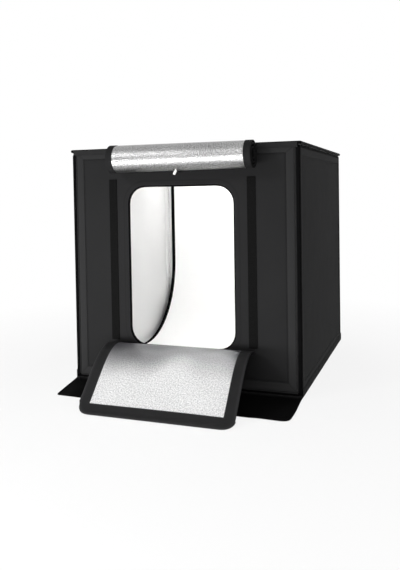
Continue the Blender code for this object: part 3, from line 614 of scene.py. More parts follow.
PANELS = {
    "front_wall": Panel("front_wall", (1, 0, 0), (0, 0, 1), lift=0.005),
    # The side and back walls have shade painted on the cloth at their edges.
    "back_wall": Panel("back_wall", (-1, 0, 0), (0, 0, 1), painted_edge_shade=1.0),
    "right_wall": Panel("right_wall", (0, 1, 0), (0, 0, 1), painted_edge_shade=1.0),
    "left_wall": Panel("left_wall", (0, -1, 0), (0, 0, 1), painted_edge_shade=1.0),
    "top_panel": Panel("top_panel", (1, 0, 0), (0, 1, 0), corner=0.004),
    "base": Panel("base", (1, 0, 0), (0, -1, 0), corner=0.012),
}
for body, panel in PANELS.items():
    print(body, round(2 * panel.half_u, 4), "by", round(2 * panel.half_v, 4), "m")


# %% Outlines
def round_corner(centre, radius, start, steps):
    return [(centre[0] + radius * math.cos(math.radians(start + 90 * step / steps)),
             centre[1] + radius * math.sin(math.radians(start + 90 * step / steps)))
            for step in range(steps + 1)]


def rounded_outline(low, high, radius, inset=0.0, per_side=24, steps=5):
    """A rounded rectangle with points along its sides too, anticlockwise, the same count at any inset."""
    low_u, low_v = low[0] + inset, low[1] + inset
    high_u, high_v = high[0] - inset, high[1] - inset
    radius = max(radius - inset, 0.0012)
    corners = [round_corner((high_u - radius, low_v + radius), radius, -90, steps),
               round_corner((high_u - radius, high_v - radius), radius, 0, steps),
               round_corner((low_u + radius, high_v - radius), radius, 90, steps),
               round_corner((low_u + radius, low_v + radius), radius, 180, steps)]
    outline = []
    for corner, after in zip(corners, corners[1:] + corners[:1]):
        outline += corner
        start, end = corner[-1], after[0]
        for index in range(1, per_side):
            share = index / per_side
            outline.append((start[0] + (end[0] - start[0]) * share, start[1] + (end[1] - start[1]) * share))
    return outline


def circle_outline(centre, radius, sides=64):
    return [(centre[0] + radius * math.cos(math.tau * side / sides),
             centre[1] + radius * math.sin(math.tau * side / sides)) for side in range(sides)]


print("outline of", len(rounded_outline((-1, -1), (1, 1), 0.1)), "points")

# %% [markdown]
# ## Finished pieces
#
# A piece is made as a bmesh in the object's own coordinates, so that it sits at the origin. The UV
# map called cloth holds its place on the cloth in metres. Normals are recalculated once, at the end,
# when the shape is closed.

# %% Make a piece
def mesh_data(name, mesh):
    data = bpy.data.meshes.new(name)
    mesh.to_mesh(data)
    mesh.free()
    return data


def make_piece(name, mesh, finishes, flat=None, smooth=50, attributes=None):
    """Turn a bmesh into an object; flat gives the cloth's (u, v) of a point."""
    bmesh.ops.recalc_face_normals(mesh, faces=mesh.faces)
    data = mesh_data(name, mesh)
    for finish in finishes:
        data.materials.append(finish)
    data.shade_smooth()
    data.set_sharp_from_angle(angle=math.radians(smooth))
    if flat:
        layer = data.uv_layers.new(name="cloth")
        places = [flat(vertex.co) for vertex in data.vertices]
        for loop in data.loops:
            layer.data[loop.index].uv = places[loop.vertex_index]
    for label, value_at in (attributes or {}).items():
        layer = data.attributes.new(label, "FLOAT", "POINT")
        layer.data.foreach_set("value", [value_at(vertex.co) for vertex in data.vertices])
    return add_object(name, data)


def join_loops(mesh, loops):
    """Quads between each loop of vertices and the next."""
    for first, second in zip(loops, loops[1:]):
        for index in range(len(first)):
            after = (index + 1) % len(first)
            mesh.faces.new((first[index], first[after], second[after], second[index]))


def join_and_cap(mesh, loops):
    """A closed body: quads between the loops and one face over each end."""
    join_loops(mesh, loops)
    mesh.faces.new(loops[0])
    mesh.faces.new(loops[-1])


def seen_from_above(place):
    """The (u, v) of a piece that lies level."""
    return place.x, place.y


def loop_edges(mesh, loop):
    return [mesh.edges.get((loop[index - 1], loop[index])) for index in range(len(loop))]


def smooth_step(low, high, value):
    share = min(max((value - low) / (high - low), 0), 1)
    return share * share * (3 - 2 * share)


def spread(low, high, count):
    return [low + (high - low) * index / count for index in range(count + 1)]


print("piece maker ready")

# %% [markdown]
# ## Panel covers
#
# The cloth is pulled over the board, turned under the tape at the edge and stitched down 17 mm in.
# That gives a soft hem band: it leaves the tape, crowns a little, drops into the stitch line and
# meets the flat field. So each cover is drawn as a set of loops, one for each place across the hem,
# at its own height. The window, the overhead opening and the lead's hole get loops of their own.

# %% Cover profile
HEM, HEM_LINE = 0.017, 0.0175
COVER_PROFILE = (
    (0.0033, -0.00060), (0.0036, -0.00025), (0.0044, 0.00005), (0.0060, 0.00030), (0.0090, 0.00042),
    (0.0120, 0.00036), (0.0145, 0.00016), (0.0160, -0.00015), (0.0168, -0.00055), (0.0176, -0.00072),
    (0.0188, -0.00066), (0.0210, -0.00052), (0.0240, -0.00050),
)
HOLE_PROFILE = (
    (-0.0008, -0.00075), (-0.0006, -0.00040), (0.0016, -0.00012), (0.0036, -0.00012), (0.0058, -0.00022),
    (0.0070, -0.00040), (0.0080, -0.00050), (0.0100, -0.00050),
)
COVER_UNDER = -0.00095


def edge_gaps(panel, place):
    """Gaps to the nearer side and end; under a raised upper hem the end's gap is stretched."""
    u, v = panel.flat(place)
    end = panel.half_v - abs(v)
    if v > 0 and end < HEM_LINE - panel.lift:
        end *= HEM_LINE / (HEM_LINE - panel.lift)
    elif v > 0:
        end += panel.lift
    return panel.half_u - abs(u), end


def hem_outline(panel, inset):
    """The panel's outline at an inset; a raised upper hem is narrower than the others."""
    raised = panel.lift * min(inset / HEM_LINE, 1.0)
    return rounded_outline((-panel.half_u, -panel.half_v), (panel.half_u, panel.half_v + raised),
                           panel.corner, inset)


def cover_attributes(panel, hole_gap):
    """How far each point lies from the panel's sides, whether it is hem or stitch line, and where shade is
    painted at the edge.
    """
    def nearest(place):
        return min(edge_gaps(panel, place))

    def groove(place):
        # The stitch line, and a faint ring round the opening; the cloth is pressed in and painted darker
        # along both, as shade.
        hem = 1 - smooth_step(0.0002, 0.0016, abs(nearest(place) - HEM_LINE))
        rim = 1 - smooth_step(0.0002, 0.0014, abs(hole_gap(place) - 0.0078))
        return max(hem, rim * 0.25)

    return {
        "hem": lambda place: 1 - smooth_step(HEM - 0.0012, HEM + 0.0004, nearest(place)),
        "groove": groove,
        "side_gap": lambda place: edge_gaps(panel, place)[0],
        "end_gap": lambda place: edge_gaps(panel, place)[1],
        "painted_edge_shade": lambda place: panel.painted_edge_shade * (1 - smooth_step(0.0044, 0.0062, nearest(place))),
    }


print("cover profile of", len(COVER_PROFILE), "loops")


# %% Panel covers
def no_hole(_place):
    return 1.0


def build_cover(body, hole=None, hole_gap=no_hole):
    """One soft cover; hole(gap) gives its opening's outline at a gap."""
    panel = PANELS[body]
    mesh = bmesh.new()

    def loop(outline, w):
        return [mesh.verts.new(panel.point(u, v, w)) for u, v in outline]

    outer = [loop(hem_outline(panel, COVER_PROFILE[0][0]), COVER_UNDER)]
    outer += [loop(hem_outline(panel, inset), w) for inset, w in COVER_PROFILE]
    join_loops(mesh, outer)
    under, over = loop_edges(mesh, outer[0]), loop_edges(mesh, outer[-1])
    if hole:
        inner = [loop(hole(HOLE_PROFILE[0][0]), COVER_UNDER)]
        inner += [loop(hole(gap), w) for gap, w in HOLE_PROFILE]
        join_loops(mesh, inner)
        under += loop_edges(mesh, inner[0])
        over += loop_edges(mesh, inner[-1])
    for edges in (under, over):
        bmesh.ops.triangle_fill(mesh, use_beauty=True, use_dissolve=False, edges=edges)
    cover = make_piece(body + "_cloth", mesh, [PANEL_CLOTH], panel.flat, 60,
                       cover_attributes(panel, hole_gap))
    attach(cover, body)
    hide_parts(body + "_cover")
    return cover


WINDOW_LOW, WINDOW_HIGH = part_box("window_binding")
WINDOW_CORNER = 0.028 + 0.0025
PORT_LOW, PORT_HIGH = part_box("port_rim")
PORT_RADIUS = (PORT_HIGH.x - PORT_LOW.x) / 2
GROMMET_LOW, GROMMET_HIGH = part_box("cable_grommet")
GROMMET_PLACE = PANELS["back_wall"].flat((GROMMET_LOW + GROMMET_HIGH) / 2)
GROMMET_HOLE = 0.0080


def window_hole(gap):
    panel = PANELS["front_wall"]
    return rounded_outline(panel.flat(WINDOW_LOW), panel.flat(WINDOW_HIGH), WINDOW_CORNER, -gap, 12, 10)


def port_hole(gap):
    return circle_outline(PANELS["top_panel"].flat((0, 0, 0)), PORT_RADIUS + gap)


def grommet_hole(gap):
    return circle_outline(GROMMET_PLACE, GROMMET_HOLE + gap)


def window_gap(place):
    """How far outside the window's rounded outline a point lies."""
    half_x = (WINDOW_HIGH.x - WINDOW_LOW.x) / 2 - WINDOW_CORNER
    half_z = (WINDOW_HIGH.z - WINDOW_LOW.z) / 2 - WINDOW_CORNER
    beyond_x = max(abs(place.x) - half_x, 0)
    beyond_z = max(abs(place.z - (WINDOW_HIGH.z + WINDOW_LOW.z) / 2) - half_z, 0)
    return math.hypot(beyond_x, beyond_z) - WINDOW_CORNER


def port_gap(place):
    return math.hypot(place.x, place.y) - PORT_RADIUS


OPENINGS = {"front_wall": (window_hole, window_gap), "back_wall": (grommet_hole,),
            "top_panel": (port_hole, port_gap)}
covers = [build_cover(body, *OPENINGS.get(body, ())) for body in PANELS]
print("covers:", [len(cover.data.polygons) for cover in covers], "faces")

# %% [markdown]
# ## The draped lower flap
#
# The flap is one sheet. It leaves its seam under the window at a rising angle, bends over and comes
# to rest on the table. A cloth simulation could find such a fall, but the picture shows it well
# enough to draw: a cubic curve with four control points. The flap is drawn in cloth
# coordinates: how far from the seam, and how far across. One function turns those into a place, so
# the sheet, its border and its stitches all lie on the same drape.

# %% Drape of the lower flap
FRONT = PANELS["front_wall"].middle.y
FLAP_WIDTH = 0.250
FLAP_TIP_LEFT, FLAP_TIP_RIGHT = 0.1091, 0.1374
FLAP_ROOT = (FRONT - 0.0006, 0.0660)
FLAP_TIP = (FRONT - 0.1671, 0.0016)
FLAP_CONTROLS = (FLAP_ROOT, (FLAP_ROOT[0] - 0.0649, FLAP_ROOT[1] + 0.0371),
                 (FLAP_TIP[0] + 0.0342, FLAP_TIP[1]), FLAP_TIP)


def bezier(controls, share):
    rest = 1 - share
    weights = (rest ** 3, 3 * rest ** 2 * share, 3 * rest * share ** 2, share ** 3)
    return tuple(sum(weight * control[axis] for weight, control in zip(weights, controls))
                 for axis in (0, 1))


class Run:
    """A line in the y-z plane that can be asked for its place at any distance along it."""

    def __init__(self, points):
        self.points = points
        self.marks = [0.0]
        for before, after in zip(points, points[1:]):
            self.marks.append(self.marks[-1] + math.dist(before, after))
        self.length = self.marks[-1]

    def at(self, distance):
        """The point at a distance, and the direction square to the line, to its left."""
        index = 0
        while index < len(self.points) - 2 and self.marks[index + 1] < distance:
            index += 1
        step = self.marks[index + 1] - self.marks[index]
        share = (distance - self.marks[index]) / step
        (ay, az), (by, bz) = self.points[index], self.points[index + 1]
        return (ay + (by - ay) * share, az + (bz - az) * share), (-(bz - az) / step, (by - ay) / step)


flap_run = Run([bezier(FLAP_CONTROLS, point / 240) for point in range(241)])
print("lower flap, seam to tip:", round(flap_run.length * 1000, 1), "mm")


# %% From cloth to place on the flap
def flap_ease(s):
    """How far down the flap a point is, from 0 at the seam to 1 at the tip."""
    return s / flap_run.length


def flap_half(side, s):
    """The flap's half width at a distance from its seam, on one side."""
    tip = FLAP_TIP_LEFT if side < 0 else FLAP_TIP_RIGHT
    return FLAP_WIDTH / 2 + (tip - FLAP_WIDTH / 2) * flap_ease(s)


def flap_ripple(s, t):
    """A slight life in the cloth: none at the seam or where it lies down."""
    ease = flap_ease(s)
    swell = 0.0010 * math.sin(31 * t + 0.6) * math.sin(math.pi * ease)
    return swell + 0.0006 * math.sin(57 * t - 19 * s) * math.sin(math.pi * ease) ** 2


def flap_place(s, t, w=0.0):
    """The place of cloth point (s from the seam, t across), raised by w off the silver face."""
    (y, z), (out_y, out_z) = flap_run.at(s)
    rise = flap_ripple(s, t) + w
    return Vector((t, y - out_y * rise, max(z - out_z * rise, 0.0006 + min(w, 0))))


def grid_sheet(mesh, rows, under_rows):
    """A closed sheet between two grids of points."""
    top = [[mesh.verts.new(point) for point in row] for row in rows]
    low = [[mesh.verts.new(point) for point in row] for row in under_rows]
    count = len(top[0])
    for grid in (top, low):
        for first, second in zip(grid, grid[1:]):
            for index in range(count - 1):
                mesh.faces.new((first[index], first[index + 1], second[index + 1], second[index]))
    rim = top[0] + [row[-1] for row in top[1:]] + top[-1][-2::-1] + [row[0] for row in top[-2:0:-1]]
    low_rim = low[0] + [row[-1] for row in low[1:]] + low[-1][-2::-1] + [row[0] for row in low[-2:0:-1]]
    join_loops(mesh, [rim, low_rim])


print("middle of the flap's tip:", [round(value, 4) for value in flap_place(flap_run.length, 0.014)])

# %% [markdown]
# The foil face runs to the inner edge of the border. It is thin, so its under side is a second grid
# 0.8 mm below.

# %% The flap's foil
BORDER = 0.018
END_BORDER = 0.024
FOIL_THICKNESS = 0.0008
FOIL_LAP = 0.002
FOLD, FOLD_REACH = 0.48 * flap_run.length, 0.034
FOLD_START, FOLD_END = flap_place(FOLD - FOLD_REACH, 0), flap_place(FOLD + FOLD_REACH, 0)


def mark(place):
    """A place as a key that is the same before and after it is stored in a mesh."""
    return tuple(round(value, 6) for value in place)


def flap_grid(distances, shares, w, lookup, left, right):
    rows = []
    for s in distances:
        row = []
        for share in shares:
            t = left(s) + (right(s) - left(s)) * share
            place = flap_place(s, t, w)
            lookup[mark(place)] = (t, s)
            row.append(place)
        rows.append(row)
    return rows


def foil_smooth_shaded_root(t, s):
    """How smooth the foil is and how much shade is painted into its colour: most at the seam, above all at
    its two corners.
    """
    wander = 0.008 * math.sin(34 * t + 0.5) + 0.004 * math.sin(83 * t)
    corner = 0.014 * smooth_step(0.07, 0.115, abs(t))
    first = smooth_step(0.022, 0.054, s + wander - corner)
    second = smooth_step(0.058, 0.112, s + wander)
    return 1 - 0.25 * first - 0.75 * second


def build_flap_foil():
    lookup = {}
    mesh = bmesh.new()
    distances = spread(0.001, flap_run.length - END_BORDER + FOIL_LAP, 56)
    shares = spread(0, 1, 40)

    def left(s):
        return -flap_half(-1, s) + BORDER - FOIL_LAP

    def right(s):
        return flap_half(1, s) - BORDER + FOIL_LAP

    grid_sheet(mesh, flap_grid(distances, shares, 0.0, lookup, left, right),
               flap_grid(distances, shares, -FOIL_THICKNESS, lookup, left, right))
    foil = make_piece("lower_flap_sheet", mesh, [FLAP_FOIL], lambda place: lookup[mark(place)], 60, {
        "smooth_shaded_root": lambda place: foil_smooth_shaded_root(*lookup[mark(place)])})
    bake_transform(foil)
    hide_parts("lower_flap_foil", "lower_flap_end_foil")
    return foil


flap_foil = build_flap_foil()
print("flap foil:", len(flap_foil.data.polygons), "faces")

# %% [markdown]
# The border is a tape folded over the edge of the sheet. Its section is drawn once, from the inner
# edge over the top, round the outer edge and back below. The section is then carried round the flap:
# down the left side, round the corner, along the end and up the right side.

# %% The flap's border
CORNER_LEFT, CORNER_RIGHT = 0.026, 0.020
ROOT = HAIR = 0.0004
CORNER_GAP = 0.0006
TAPE_SECTION = (
    (0.00, -0.00130), (0.00, 0.00015), (0.02, 0.00055), (0.08, 0.00068), (0.30, 0.00058), (0.70, 0.00056),
    (0.90, 0.00070), (0.97, 0.00062), (1.00, 0.00015), (1.00, -0.00075), (0.97, -0.00125), (0.50, -0.00135),
)


def border_stations():
    """Pairs of (outer, inner) cloth points round the border, from the left root to the right root.

    The inner points of a corner are kept a hair apart, so that no face there shrinks to nothing.
    """
    length = flap_run.length
    inner_end = length - END_BORDER
    left_stop, right_stop = length - CORNER_LEFT, length - CORNER_RIGHT

    def side_pair(side, stop, share):
        outer, inner = ROOT + (stop - ROOT) * share, ROOT + (inner_end - ROOT) * share
        return (outer, side * flap_half(side, outer)), (inner, side * (flap_half(side, inner) - BORDER))

    pairs = [side_pair(-1, left_stop, share) for share in spread(0, 1, 44)]
    inner_left = -flap_half(-1, inner_end) + BORDER
    centre = -flap_half(-1, length) + CORNER_LEFT
    for angle in range(12, 90, 12):
        turn = math.radians(angle)
        pairs.append(((left_stop + CORNER_LEFT * math.sin(turn), centre - CORNER_LEFT * math.cos(turn)),
                      (inner_end, inner_left + HAIR * angle / 90)))
    right_centre = flap_half(1, length) - CORNER_RIGHT
    inner_right = flap_half(1, inner_end) - BORDER
    for share in spread(0, 1, 40):
        pairs.append(((length, centre + (right_centre - centre) * share),
                      (inner_end, inner_left + CORNER_GAP
                       + (inner_right - inner_left - 2 * CORNER_GAP) * share)))
    for angle in range(12, 90, 12):
        turn = math.radians(angle)
        pairs.append(((right_stop + CORNER_RIGHT * math.cos(turn),
                       right_centre + CORNER_RIGHT * math.sin(turn)),
                      (inner_end, inner_right - HAIR + HAIR * angle / 90)))
    return pairs + [side_pair(1, right_stop, share) for share in spread(1, 0, 44)]


def build_flap_border():
    mesh = bmesh.new()
    lookup, painted_rim_highlights = {}, {}
    loops = []
    for (outer_s, outer_t), (inner_s, inner_t) in border_stations():
        loop = []
        for share, w in TAPE_SECTION:
            s, t = inner_s + (outer_s - inner_s) * share, inner_t + (outer_t - inner_t) * share
            place = flap_place(s, t, w)
            lookup[mark(place)] = (t, s)
            # A painted highlight is laid along the tape's two rounded edges.
            painted_rim_highlights[mark(place)] = (
                smooth_step(0.80, 0.97, share) + smooth_step(0.10, 0.0, share) if w > 0 else 0.0)
            loop.append(mesh.verts.new(place))
        loops.append(loop)
    join_and_cap(mesh, loops)
    border = make_piece("lower_flap_border", mesh, [BORDER_TAPE], lambda place: lookup[mark(place)], 60, {
        "rim": lambda place: painted_rim_highlights[mark(place)]})
    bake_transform(border)
    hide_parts("lower_flap_binding", "lower_flap_end_binding")
    return border


flap_border = build_flap_border()
print("flap border:", len(flap_border.data.polygons), "faces")

# %% [markdown]
# ## The rolled upper flap
#
# A roll follows a rule: the radius falls from turn to turn, slowly at first and faster towards the
# core. Geometry Nodes can state that rule once and lay a grid along it, so turns, radii and width stay
# inputs that can be changed. The sheet leaves its seam at the top of the wall, runs down behind and
# then winds inwards. Its ripple and its taper towards the right come in over the first tenth.

# %% Roll by Geometry Nodes
ROLL_RADIUS, ROLL_CORE, ROLL_TURNS = 0.0230, 0.0080, 3.25
ROLL_TIGHTENING = 1.6
ROLL_BACK_GAP, ROLL_DROP = 0.0008, 0.0195
ROLL_LOW, ROLL_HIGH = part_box("upper_flap_binding")
TENT_TOP = PANELS["top_panel"].middle.z
ROLL_CENTRE = (FRONT - ROLL_BACK_GAP - ROLL_RADIUS, TENT_TOP - ROLL_DROP)
ROLL_SEAM = (FRONT - 0.0036, TENT_TOP - 0.0012)
ROLL_LEAD = 0.06
ROLL_LEAD_LENGTH = math.dist(ROLL_SEAM, (ROLL_CENTRE[0] + ROLL_RADIUS, ROLL_CENTRE[1]))


def geometry_tree(name, inputs):
    """A Geometry Nodes group with named inputs; it returns the tree and a wire for each input."""
    tree = bpy.data.node_groups.new(name, "GeometryNodeTree")
    tree.interface.new_socket("Geometry", in_out="INPUT", socket_type="NodeSocketGeometry")
    tree.interface.new_socket("Geometry", in_out="OUTPUT", socket_type="NodeSocketGeometry")
    kinds = {float: "NodeSocketFloat", int: "NodeSocketInt", bpy.types.Material: "NodeSocketMaterial"}
    for label, kind in inputs.items():
        tree.interface.new_socket(label, in_out="INPUT", socket_type=kinds[kind])
    web = Web(tree)
    start = tree.nodes.new("NodeGroupInput")
    return web, {output.name: Wire(web, output) for output in start.outputs if output.name}


def finish_tree(web, laid, finish):
    """End a tree with real geometry that wears its finish."""
    whole = web.node("GeometryNodeRealizeInstances", None, {0: laid})
    worn = web.node("GeometryNodeSetMaterial", None, {0: whole, "Material": finish})
    web.tree.links.new(worn.socket, web.tree.nodes.new("NodeGroupOutput").inputs[0])
    return web.tree


def roll_tree():
    """A sheet laid along a straight run and then round an inward spiral."""
    web, given = geometry_tree("rolled sheet", {
        "Left": float, "Right": float, "Radius": float, "Core": float, "Turns": float,
        "Ripple": float, "Taper": float, "Rows": int, "Columns": int, "Finish": bpy.types.Material})
    width = given["Right"] - given["Left"]
    grid = web.node("GeometryNodeMeshGrid", None, {
        "Size X": width, "Size Y": 1.0, "Vertices X": given["Columns"], "Vertices Y": given["Rows"]})
    place = web.node("GeometryNodeInputPosition")
    x = web.axis(place, "X") + given["Left"] + width / 2
    share = web.axis(place, "Y") + 0.5
    wound = ((share - ROLL_LEAD) / (1 - ROLL_LEAD)).larger(0.0)
    straight = (share / ROLL_LEAD).smaller(1.0)
    turn = wound * given["Turns"]
    angle = turn * -math.tau
    ripple = web.node("ShaderNodeTexNoise", None, {
        "Vector": web.point(x * 7, turn * 2.2, 3.7), "Scale": 1.0, "Detail": 1.0})
    tightness = (turn / given["Turns"]) ** ROLL_TIGHTENING
    radius = given["Radius"] - (given["Radius"] - given["Core"]) * tightness
    radius = radius - (ripple - 0.5) * given["Ripple"] * wound.smaller(0.1) * 10
    narrowing = ((x - ROLL_LOW.x) / (ROLL_HIGH.x - ROLL_LOW.x)).larger(0.0) * given["Taper"]
    radius = radius - narrowing * wound.smaller(0.1) * 10
    round_y = ROLL_CENTRE[0] + radius * angle.cosine() + narrowing
    round_z = ROLL_CENTRE[1] + radius * angle.sine() + narrowing
    y = ROLL_SEAM[0] + (round_y - ROLL_SEAM[0]) * straight
    z = ROLL_SEAM[1] + (round_z - ROLL_SEAM[1]) * straight
    shrink = (given["Radius"] - given["Core"]) * turn * tightness / (ROLL_TIGHTENING + 1)
    length = straight * ROLL_LEAD_LENGTH + (given["Radius"] * turn - shrink) * math.tau
    marked = web.node("GeometryNodeStoreNamedAttribute", {"data_type": "FLOAT2", "domain": "CORNER"}, {
        "Geometry": grid, "Name": "cloth", "Value": web.point(x, length)})
    laid = web.node("GeometryNodeSetPosition", None, {
        "Geometry": marked, "Position": web.point(x, y, z)})
    return finish_tree(web, laid, given["Finish"])


def evaluated_mesh(piece):
    """What the piece's modifiers make of it, as a mesh of its own."""
    return bpy.data.meshes.new_from_object(
        piece.evaluated_get(bpy.context.evaluated_depsgraph_get()))


def run_tree(name, tree, values, start=None):
    """Run a tree on an object and return its result as a plain mesh object."""
    carrier = add_object(name, start or bpy.data.meshes.new(name))
    modifier = carrier.modifiers.new("nodes", "NODES")
    modifier.node_group = tree
    for item in tree.interface.items_tree:
        if item.item_type == "SOCKET" and item.in_out == "INPUT" and item.name in values:
            modifier[item.identifier] = values[item.name]
    data = evaluated_mesh(carrier)
    data.name = name
    bpy.data.objects.remove(carrier, do_unlink=True)
    return add_object(name, data)


ROLL_TREE = roll_tree()
print("roll tree has", len(ROLL_TREE.nodes), "nodes")


# %% The roll's foil and its bound ends
ROLL_BINDING, ROLL_LAP = 0.011, 0.002
ROLL_RULE = {"Radius": ROLL_RADIUS, "Core": ROLL_CORE, "Turns": ROLL_TURNS, "Ripple": 0.0010,
             "Taper": 0.0012, "Rows": 150}


def thicken(piece, thickness):
    """Make a sheet solid with Solidify and keep the result as its mesh."""
    modifier = piece.modifiers.new("thickness", "SOLIDIFY")
    modifier.thickness = thickness
    modifier.offset = 0
    data = evaluated_mesh(piece)
    piece.modifiers.clear()
    piece.data = data
    data.shade_smooth()
    data.set_sharp_from_angle(angle=math.radians(60))


def rolled(name, columns, left, right, thickness, finish):
    """One strip of the rolled flap, between two places across it."""
    piece = run_tree(name, ROLL_TREE, {
        "Left": left, "Right": right, "Columns": columns, "Finish": finish, **ROLL_RULE})
    thicken(piece, thickness)
    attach(piece, "upper_flap")
    return piece


roll_foil = rolled("upper_flap_roll", 90, ROLL_LOW.x + ROLL_BINDING - ROLL_LAP,
                   ROLL_HIGH.x - ROLL_BINDING + ROLL_LAP, 0.0008, SHADED_ROLL_FOIL)
roll_left = rolled("upper_flap_left_border", 8, ROLL_LOW.x, ROLL_LOW.x + ROLL_BINDING,
                   0.0020, BORDER_TAPE)
roll_right = rolled("upper_flap_right_border", 8, ROLL_HIGH.x - ROLL_BINDING, ROLL_HIGH.x,
                    0.0020, BORDER_TAPE)
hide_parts("upper_flap_foil")
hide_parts("upper_flap_binding")

# %% [markdown]
# ## Lip and backdrop
#
# The lip is loose cloth in front of the base. It lies flat under the draped flap and has a soft wave
# and a beaded edge beside it, so its height is one function of the place. The backdrop is one white
# sheet that hangs on the back wall, sweeps forward and lies on the base.

# %% The lip
LIP_LOW, LIP_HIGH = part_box("front_lip")
LIP_LEAN, LIP_LEFT_RISE = 0.021, 0.012
LIP_LEFT_CORNER, LIP_RIGHT_CORNER = 0.005, 0.015
LIP_SIDE = -LIP_LOW.x
LIP_FLARE = LIP_HIGH.x - LIP_SIDE
LIP_SEAM, LIP_SEAM_RISE = 0.0095, 0.0024
LIP_TUCK, LIP_PRESSED_TO, LIP_FREE_FROM = 0.0014, 0.140, 0.156
LIP_SHEET, LIP_PUFF, LIP_BEAD = 0.0008, 0.0003, 0.0009


def rounded_corner(before, corner, after, reach, steps=8):
    """Points that round a corner, from one reach before it to one reach after it."""
    start, finish = (Vector(corner).lerp(Vector(end), reach / math.dist(corner, end))
                     for end in (before, after))
    return [start * (1 - share) ** 2 + Vector(corner) * 2 * share * (1 - share) + finish * share ** 2
            for share in spread(0, 1, steps)]


def lip_outline():
    """The lip's outline without its root: down the left edge, along the front, up the right edge."""
    root_left, root_right = (-LIP_SIDE, LIP_HIGH.y), (LIP_SIDE, LIP_HIGH.y)
    left, right = (LIP_LEAN - LIP_SIDE, LIP_LOW.y + LIP_LEFT_RISE), (LIP_SIDE, LIP_LOW.y)
    line = [Vector(root_left)]
    line += rounded_corner(root_left, left, right, LIP_LEFT_CORNER)
    line += rounded_corner(left, right, root_right, LIP_RIGHT_CORNER)
    return line + [Vector(root_right)]


LIP_LINE = lip_outline()


def lip_front(x):
    """How far forward the lip reaches at a place across it."""
    for first, second in zip(LIP_LINE, LIP_LINE[1:]):
        if first.x <= x <= second.x and second.x > first.x:
            return first.y + (second.y - first.y) * (x - first.x) / (second.x - first.x)
    return LIP_HIGH.y


def lip_free(x):
    """0 under the draped flap, 1 beside it."""
    return smooth_step(LIP_PRESSED_TO, LIP_FREE_FROM, abs(x))


def lip_out(y):
    """How far out from its seam a place on the lip is, from 0 to 1."""
    return (LIP_HIGH.y - y) / (LIP_HIGH.y - LIP_LOW.y)


def lip_rise(x, y):
    """The cloth lies down, with a soft wave where the flap above doesn't press on it."""
    wave = 0.5 + 0.5 * math.sin(23 * x + 1.3) * math.cos(31 * y + 9 * x)
    return 0.0016 * wave * smooth_step(0.15, 0.8, lip_out(y)) * lip_free(x)


def lip_flare(x, y):
    """The right edge bows outwards as it comes forward."""
    return LIP_FLARE * smooth_step(0.06, LIP_SIDE, x) * smooth_step(0.0, 0.7, lip_out(y))


def lip_columns():
    """Places across the lip, closer together where its outline turns."""
    even = spread(-LIP_SIDE, LIP_SIDE, 60)
    turns = [point.x for point in LIP_LINE[1:-1]]
    marks = sorted(even + turns)
    return [here for here, after in zip(marks, marks[1:]) if after - here > HAIR] + [marks[-1]]


def build_lip():
    mesh = bmesh.new()
    rows, under = [], []
    for share in spread(0, 1, 40):
        line, low = [], []
        for x in lip_columns():
            free = lip_free(x)
            front = min(lip_front(x) + LIP_TUCK * (1 - free), LIP_HIGH.y - HAIR)
            y = LIP_HIGH.y + (front - LIP_HIGH.y) * share
            to_edge = min(y - front, LIP_SIDE - abs(x)) if share < 1 else 0.0
            bead = 1 - smooth_step(0.0005, 0.0045, abs(to_edge - 0.0025))
            seam = 1 - smooth_step(LIP_SEAM - 0.0012, LIP_SEAM + 0.0006, LIP_HIGH.y - y)
            seam *= smooth_step(0, 0.0024, LIP_HIGH.y - y)
            rise = lip_rise(x, y)
            flared = x + lip_flare(x, y)
            top = LIP_SHEET + LIP_PUFF * free + rise + LIP_BEAD * bead * free + LIP_SEAM_RISE * seam
            line.append(Vector((flared, y, top)))
            low.append(Vector((flared, y, 0.0002 + rise * 0.9)))
        rows.append(line)
        under.append(low)
    grid_sheet(mesh, rows, under)
    lip = make_piece("front_lip_cloth", mesh, [LIP_CLOTH], seen_from_above, 60, {
        "seam": lambda place: 1 - smooth_step(LIP_SEAM - 0.001, LIP_SEAM + 0.001, LIP_HIGH.y - place.y)})
    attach(lip, "lip")
    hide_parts("front_lip")
    2 * LIP_SIDE
    return lip


lip = build_lip()
print("lip:", len(lip.data.polygons), "faces")

# %% The backdrop
BACKDROP_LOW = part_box("backdrop_floor")[0]
BACKDROP_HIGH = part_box("backdrop_wall")[1]
SWEEP, FALL_STEP = 0.160, 0.010
TAPE_WIDTH, TAPE_OUT = 0.0072, 0.0006


def backdrop_run():
    """The under side of the sheet, from its top, down the wall, round the sweep and forward."""
    back, floor = BACKDROP_HIGH.y, BACKDROP_LOW.z
    hanging = int((BACKDROP_HIGH.z - floor - SWEEP) / FALL_STEP) + 1
    points = [(back, BACKDROP_HIGH.z - FALL_STEP * step) for step in range(hanging)]
    points += [(back, floor + SWEEP)] if points[-1][1] > floor + SWEEP else []
    for step in range(1, 33):
        angle = math.radians(90 * step / 32)
        points.append((back - SWEEP * (1 - math.cos(angle)), floor + SWEEP * (1 - math.sin(angle))))
    front = BACKDROP_LOW.y
    start = points[-1][0]
    points += [(start + (front - start) * step / 24, floor) for step in range(1, 25)]
    return Run(points)


BACKDROP_RUN = backdrop_run()


def backdrop_place(s, x, w):
    (y, z), (out_y, out_z) = BACKDROP_RUN.at(s)
    return Vector((x, y - out_y * w, z - out_z * w))


def build_backdrop():
    mesh = bmesh.new()
    columns = spread(-BACKDROP_HIGH.x, BACKDROP_HIGH.x, 24)
    grid_sheet(mesh, *([[backdrop_place(s, x, w) for x in columns] for s in BACKDROP_RUN.marks]
                       for w in (0.0006, 0.0)))
    return make_piece("backdrop_sheet", mesh, [BACKDROP_SHEET], None, 60)


